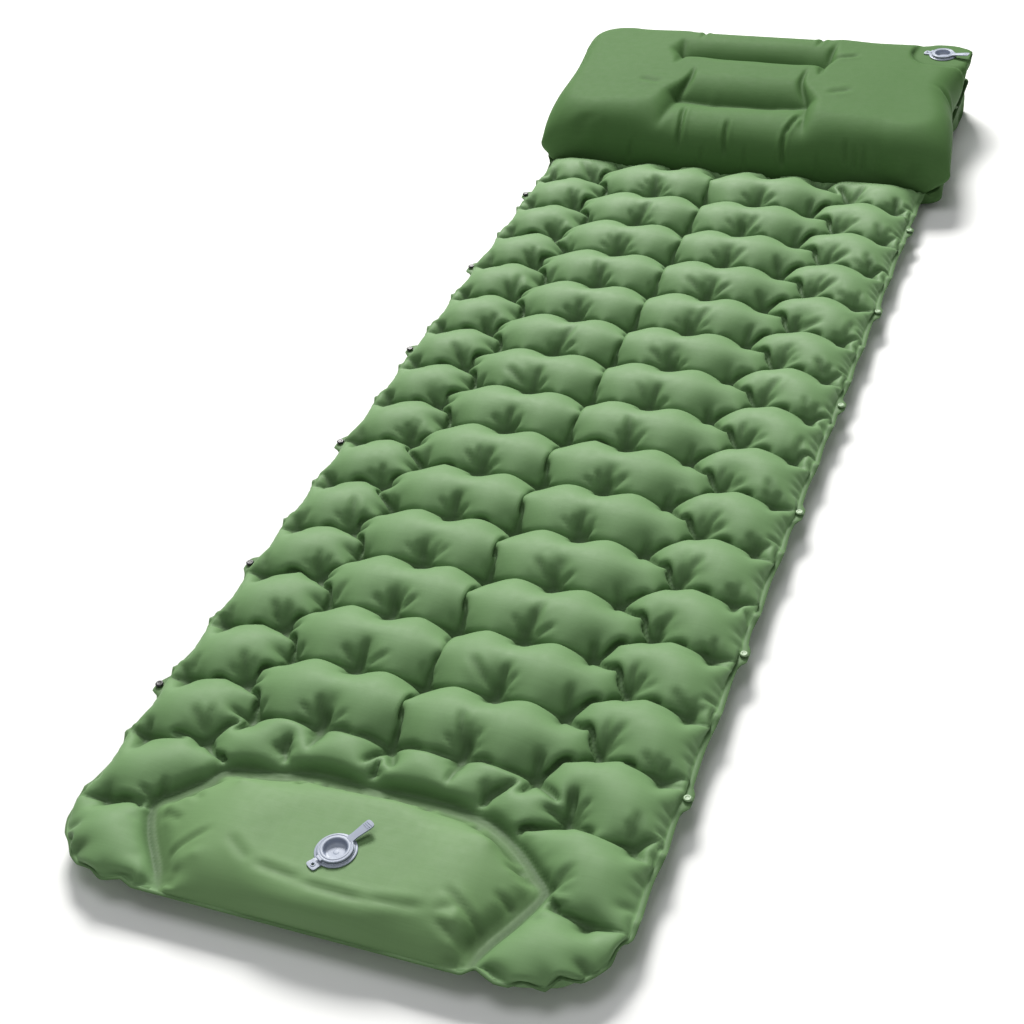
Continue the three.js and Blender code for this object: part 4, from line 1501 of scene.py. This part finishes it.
CAP_PROFILE = ((0, -2.6), (10.6, -2.2), (12.9, -0.8), (13.1, 3.6), (18.3, 3.6), (18.6, 4.1),
               (18.5, 4.7), (17.9, 5.25), (16.9, 5.3), (16.5, 4.95), (15.5, 4.95), (15.1, 5.35),
               (13.4, 5.35), (12.6, 4.9), (12.2, 4.2), (11.7, 0.6), (10.6, -0.9), (8.6, -1.25),
               (3.0, -1.3), (2.4, -1.0), (0, -1.0))
TAB_OUTLINE = ((16.2, -4.2), (22, -4.2), (29, -4.6), (36, -5.2), (41.5, -5.4), (44.0, -4.6),
               (45.0, -2.0), (45.0, 2.0), (44.0, 4.6), (41.5, 5.4), (36, 5.2), (29, 4.6),
               (22, 4.2), (16.2, 4.2))
TAB_CORNERS = ((45, -3.6), (45, 3.6), (43.2, -5.3), (43.2, 5.3))    # only for finding its angle
TAB_HINGE_X, TAB_TILT = 17.0, math.radians(9)
SEAL_RADIUS, SEAL_THICKNESS, SEAL_Z = 13.72, 0.28, 1.2    # thickness is the wire's radius


def tab_angle(cap_node, centre):
    """Direction of the pull tab: the one whose reach best fits the cap's box."""
    lo, hi = box_mm(cap_node)
    far = np.where(hi - centre > centre - lo, hi - centre, lo - centre)

    def misfit(degrees):
        a = math.radians(degrees)
        xs = [r * math.cos(a) - w * math.sin(a) for r, w in TAB_CORNERS]
        ys = [r * math.sin(a) + w * math.cos(a) for r, w in TAB_CORNERS]
        total = 0
        for target, places in ((far[0], xs), (far[1], ys)):
            reach = max(places + [20.0]) if target > 0 else min(places + [-20.0])
            total += (reach - target) ** 2
        return total

    return min(np.arange(-180, 180, 0.25), key=misfit)


def lift_tab(p):
    x = max(p.x - TAB_HINGE_X, 0.0)
    along = TAB_HINGE_X + x * math.cos(TAB_TILT) if p.x > TAB_HINGE_X else p.x
    return Vector((along, p.y, p.z + x * math.sin(TAB_TILT)))


def valve_flange():
    """Glued flange with its eyelet ear."""
    bm = bmesh.new()
    turn(bm, FLANGE_PROFILE)
    plate(bm, curve_through(EAR_OUTLINE, 5, closed=True), 0.3, 1.75, bevel=0.3,
          hole=(EYELET_X, 0, 1.6))
    ring = bmesh.new()
    turn(ring, EYELET_PROFILE, fillet=0.2, segments=40)
    bmesh.ops.translate(ring, vec=(EYELET_X, 0, 0), verts=ring.verts)
    absorb(bm, ring)
    return bm


def valve_neck():
    """Neck with a spoked seat."""
    bm = bmesh.new()
    turn(bm, NECK_PROFILE, fillet=0.25)
    turn(bm, SEAT_PROFILE, fillet=0.2)
    for degrees in (0, 90):
        c, s = math.cos(math.radians(degrees)), math.sin(math.radians(degrees))
        spoke = [(x * c - y * s, x * s + y * c) for x, y in bar(-11.6, 11.6, 1.0)]
        plate(bm, spoke, SEAT_BOTTOM, SEAT_TOP, bevel=0.2)
    return bm


def valve_flap():
    bm = bmesh.new()
    turn(bm, FLAP_PROFILE, fillet=0.15, closed=False)
    return bm


def valve_cap():
    """Cap: rim, sunken bowl, pull tab with three ribs, and a stub on the far side."""
    bm = bmesh.new()
    turn(bm, CAP_PROFILE, fillet=0.22, closed=False)
    plate(bm, curve_through(TAB_OUTLINE, 4, closed=True), 3.6, 5.2, tilt=lift_tab, bevel=0.4)
    for x in (37.0, 39.2, 41.4):
        plate(bm, bar(x - .45, x + .45, 4.0), 5.1, 5.65, tilt=lift_tab, bevel=0.18)
    plate(bm, [(-17.3, -4.0), (-17.3, 4.0), (-20.5, 4.0), (-20.5, -4.0)], 3.85, 5.15)
    return bm


def valve_seal():
    bm = bmesh.new()
    turn(bm, [(SEAL_RADIUS + SEAL_THICKNESS * math.cos(a), SEAL_Z + SEAL_THICKNESS * math.sin(a))
              for a in np.linspace(0, 2 * math.pi, 12, endpoint=False)], fillet=0, segments=96)
    return bm


def build_valve(prefix, centre, host, cap_body, flap_body):
    degrees = tab_angle(prefix + "_cap", centre)
    # part, object suffix, materials, body, slot, node suffix, bowl radius
    for part, suffix, materials, body, slot, node, bowl in (
            (valve_flange, "_flange_fine", [VALVE], host, "valve_plastic", "_flange", 0.0),
            (valve_neck, "_neck_fine", [VALVE], host, "valve_plastic", "_neck", 0.0),
            (valve_flap, "_flap_fine", [SILICONE], flap_body, "silicone", "_flap", 0.0),
            (valve_cap, "_cap_fine", [VALVE, BOWL_PAINTED_SHADE], cap_body, "valve_plastic", "_cap", 12.6),
            (valve_seal, "_seal_fine", [SILICONE], cap_body, "silicone", "_seal_ring", 0.0)):
        finish(part(), prefix + suffix, centre, degrees, materials, body, slot,
               [prefix + node], bowl)


build_valve("inlet_valve", PUMP_VALVE, "pump_top", "inlet_cap", "inlet_flap")
build_valve("pillow_valve", PILLOW_VALVE, "mat", "pillow_cap", "pillow_flap")

# ---------------------------------------------------------------------------
# Snap buttons, with z measured from the seam. Profiles are (radius, z)
# ---------------------------------------------------------------------------
SNAP_DEPTH = 2.6                           # from the cap's lowest point up to the seam
SNAP_CAP = ((0, -SNAP_DEPTH), (1.7, -SNAP_DEPTH), (2.0, -2.3), (2.0, 1.7), (4.8, 1.7), (4.8, 2.5),
            (4.35, 3.2), (3.6, 3.65), (2.3, 3.65), (1.9, 3.35), (1.1, 3.3), (0, 3.4))
SNAP_LOWER = {
    "socket": ((2.4, -1.7), (4.8, -1.7), (4.75, -3.6), (4.3, -4.7), (3.6, -4.7), (3.4, -4.0),
               (3.6, -3.1), (2.4, -3.1)),
    "stud": ((2.4, -1.7), (4.8, -1.7), (4.8, -2.6), (4.4, -2.95), (3.4, -3.1), (3.0, -3.7),
             (3.25, -4.7), (3.1, -5.5), (2.4, -5.5))}


def build_snaps(side, lower, material, slot):
    """One object with all the snaps of a side."""
    bm = bmesh.new()
    nodes = []
    for cap in sorted(n for n in frame["nodes"]
                      if n.startswith(f"snap_{side}_") and n.endswith("_cap")):
        lo, hi = box_mm(cap)
        nodes += [cap, cap.replace("_cap", "_" + lower)]
        snap = bmesh.new()
        turn(snap, SNAP_CAP, fillet=0.2, closed=False, segments=40)
        turn(snap, SNAP_LOWER[lower], fillet=0.15, segments=40)
        bmesh.ops.recalc_face_normals(snap, faces=snap.faces)
        place = ((lo[0] + hi[0]) / 2, (lo[1] + hi[1]) / 2, lo[2] + SNAP_DEPTH)
        bmesh.ops.translate(snap, vec=place, verts=snap.verts)
        absorb(bm, snap)
    finish(bm, f"snaps_{side}", (0, 0, 0), 0, [material], "mat", slot, nodes)


build_snaps("left", "socket", SNAP_BLACK, "snap_black")
build_snaps("right", "stud", SNAP_GREEN, "snap_green")

# materials of the CAD nodes, by the first of these words in their name
NODE_MATERIALS = (("flap", SILICONE), ("seal", SILICONE), ("snap_left", SNAP_BLACK),
                  ("snap_right", SNAP_GREEN), ("foam", FOAM), ("divider", FILM),
                  ("valve", VALVE))
for node_name, node_object in frame["nodes"].items():
    for word, material in NODE_MATERIALS:
        if word in node_name:
            assign(node_object, material)
            break

# pressing the pump lowers foam and panel by the same stroke
STROKE = 20.0
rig.squash(foam_block, "pump_press", axis=(0, 0, 1), anchor=(0, 0, float(foam_lo[2]) / MM),
          keep=float((foam_hi[2] - STROKE - foam_lo[2]) / (foam_hi[2] - foam_lo[2])))
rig.squash(pump_dome, "pump_press", axis=(0, 0, 1), anchor=(0, 0, SEAM_Z / MM),
          keep=float((PUMP_VALVE[2] - STROKE - SEAM_Z) / (PUMP_VALVE[2] - SEAM_Z)))

# ---------------------------------------------------------------------------
# World, floor, lights and camera; places and sizes here are in metres
# ---------------------------------------------------------------------------
BACKDROP = (0.98, 0.98, 0.98, 1)


def build_world():
    """Dim even light, with a backdrop the camera sees pale whatever light it gives."""
    world = bpy.data.worlds.new("studio")
    bpy.context.scene.world = world
    world.use_nodes = True
    nodes, links = world.node_tree.nodes, world.node_tree.links
    light = nodes["Background"]
    light.inputs["Color"].default_value = (0.98, 1.0, 0.98, 1)
    light.inputs["Strength"].default_value = 0.22
    seen = nodes.new("ShaderNodeBackground")
    seen.inputs["Color"].default_value = BACKDROP
    seen.inputs["Strength"].default_value = 1.0
    path = nodes.new("ShaderNodeLightPath")
    both = nodes.new("ShaderNodeMixShader")
    links.new(path.outputs["Is Camera Ray"], both.inputs[0])
    links.new(light.outputs[0], both.inputs[1])
    links.new(seen.outputs[0], both.inputs[2])
    links.new(both.outputs[0], nodes["World Output"].inputs[0])


def floor_material():
    """Pale floor that fades into the backdrop far from the object."""
    s = Shader("floor_pale")
    s.surface.inputs["Base Color"].default_value = (0.86, 0.86, 0.86, 1)
    s.surface.inputs["Roughness"].default_value = 0.8
    co = s.coords()
    radius = s.node("ShaderNodeVectorMath", operation="LENGTH")
    s.link(co, radius.inputs[0])
    fade = s.node("ShaderNodeMapRange", interpolation_type="SMOOTHSTEP")
    fade.inputs["From Min"].default_value = 2.0
    fade.inputs["From Max"].default_value = 4.6
    s.link(radius.outputs["Value"], fade.inputs["Value"])
    camera_ray = s.node("ShaderNodeLightPath").outputs["Is Camera Ray"]
    share = s.math("MULTIPLY", fade.outputs[0], camera_ray)
    glow = s.node("ShaderNodeEmission")
    glow.inputs["Color"].default_value = BACKDROP
    blend = s.node("ShaderNodeMixShader")
    s.link(share, blend.inputs[0])
    s.link(s.surface.outputs[0], blend.inputs[1])
    s.link(glow.outputs[0], blend.inputs[2])
    s.link(blend.outputs[0], s.out.inputs[0])
    return s.material


def build_floor():
    me = bpy.data.meshes.new("floor")
    bm = bmesh.new()
    bmesh.ops.create_grid(bm, x_segments=1, y_segments=1, size=14)
    bm.to_mesh(me)
    bm.free()
    floor = add_object("floor", me)
    assign(floor, floor_material())
    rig.stage(floor)


def area_light(name, place, target, size, power, color):
    light = bpy.data.lights.new(name, "AREA")
    light.shape = "RECTANGLE"
    light.size, light.size_y = size
    light.energy = power
    light.color = color
    ob = add_object(name, light)
    ob.location = place
    aim = Vector(target) - Vector(place)
    ob.rotation_euler = aim.to_track_quat("-Z", "Y").to_euler()


def build_camera():
    """Camera beyond the foot on the right, looking down along the mat."""
    data = bpy.data.cameras.new("camera")
    data.sensor_width = 36.0
    data.lens = 59.50546875
    data.clip_start = 0.05
    data.clip_end = 60
    camera = add_object("camera", data)
    right = (0.9292483, 0.35704904, -0.09493988)
    up = (-0.15232982, 0.60438394, 0.78199468)
    back = (0.33659058, -0.71220505, 0.61601196)
    place = (688.93846 / MM, -1817.47787 / MM, (SEAM_Z + 1301.08067) / MM)
    camera.matrix_world = Matrix((*zip(right, up, back, place), (0, 0, 0, 1)))
    bpy.context.scene.camera = camera


build_world()
build_floor()
area_light("key", place=(-3.0, 6.6, 6.4), target=(0, 0.0, 0), size=(3.4, 2.4), power=1340,
           color=(1.0, 0.99, 0.96))
area_light("top", place=(-0.6, -0.2, 5.2), target=(0, -0.1, 0), size=(2.6, 3.0), power=70,
           color=(0.98, 0.99, 1.0))
area_light("front", place=(1.8, -3.0, 2.2), target=(0, -0.2, 0), size=(2.0, 1.4), power=7,
           color=(1.0, 1.0, 1.0))
build_camera()
bpy.context.scene.view_settings.view_transform = "Standard"
bpy.context.scene.view_settings.look = "None"

VISUAL_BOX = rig.bounds()


def plain(box):
    return [[float(x) for x in corner] for corner in box]


try:
    json.dump({"cad": plain(CAD_BOX), "visual": plain(VISUAL_BOX)},
              open("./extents.json", "w"))
except Exception as error:
    print("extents.json", error)
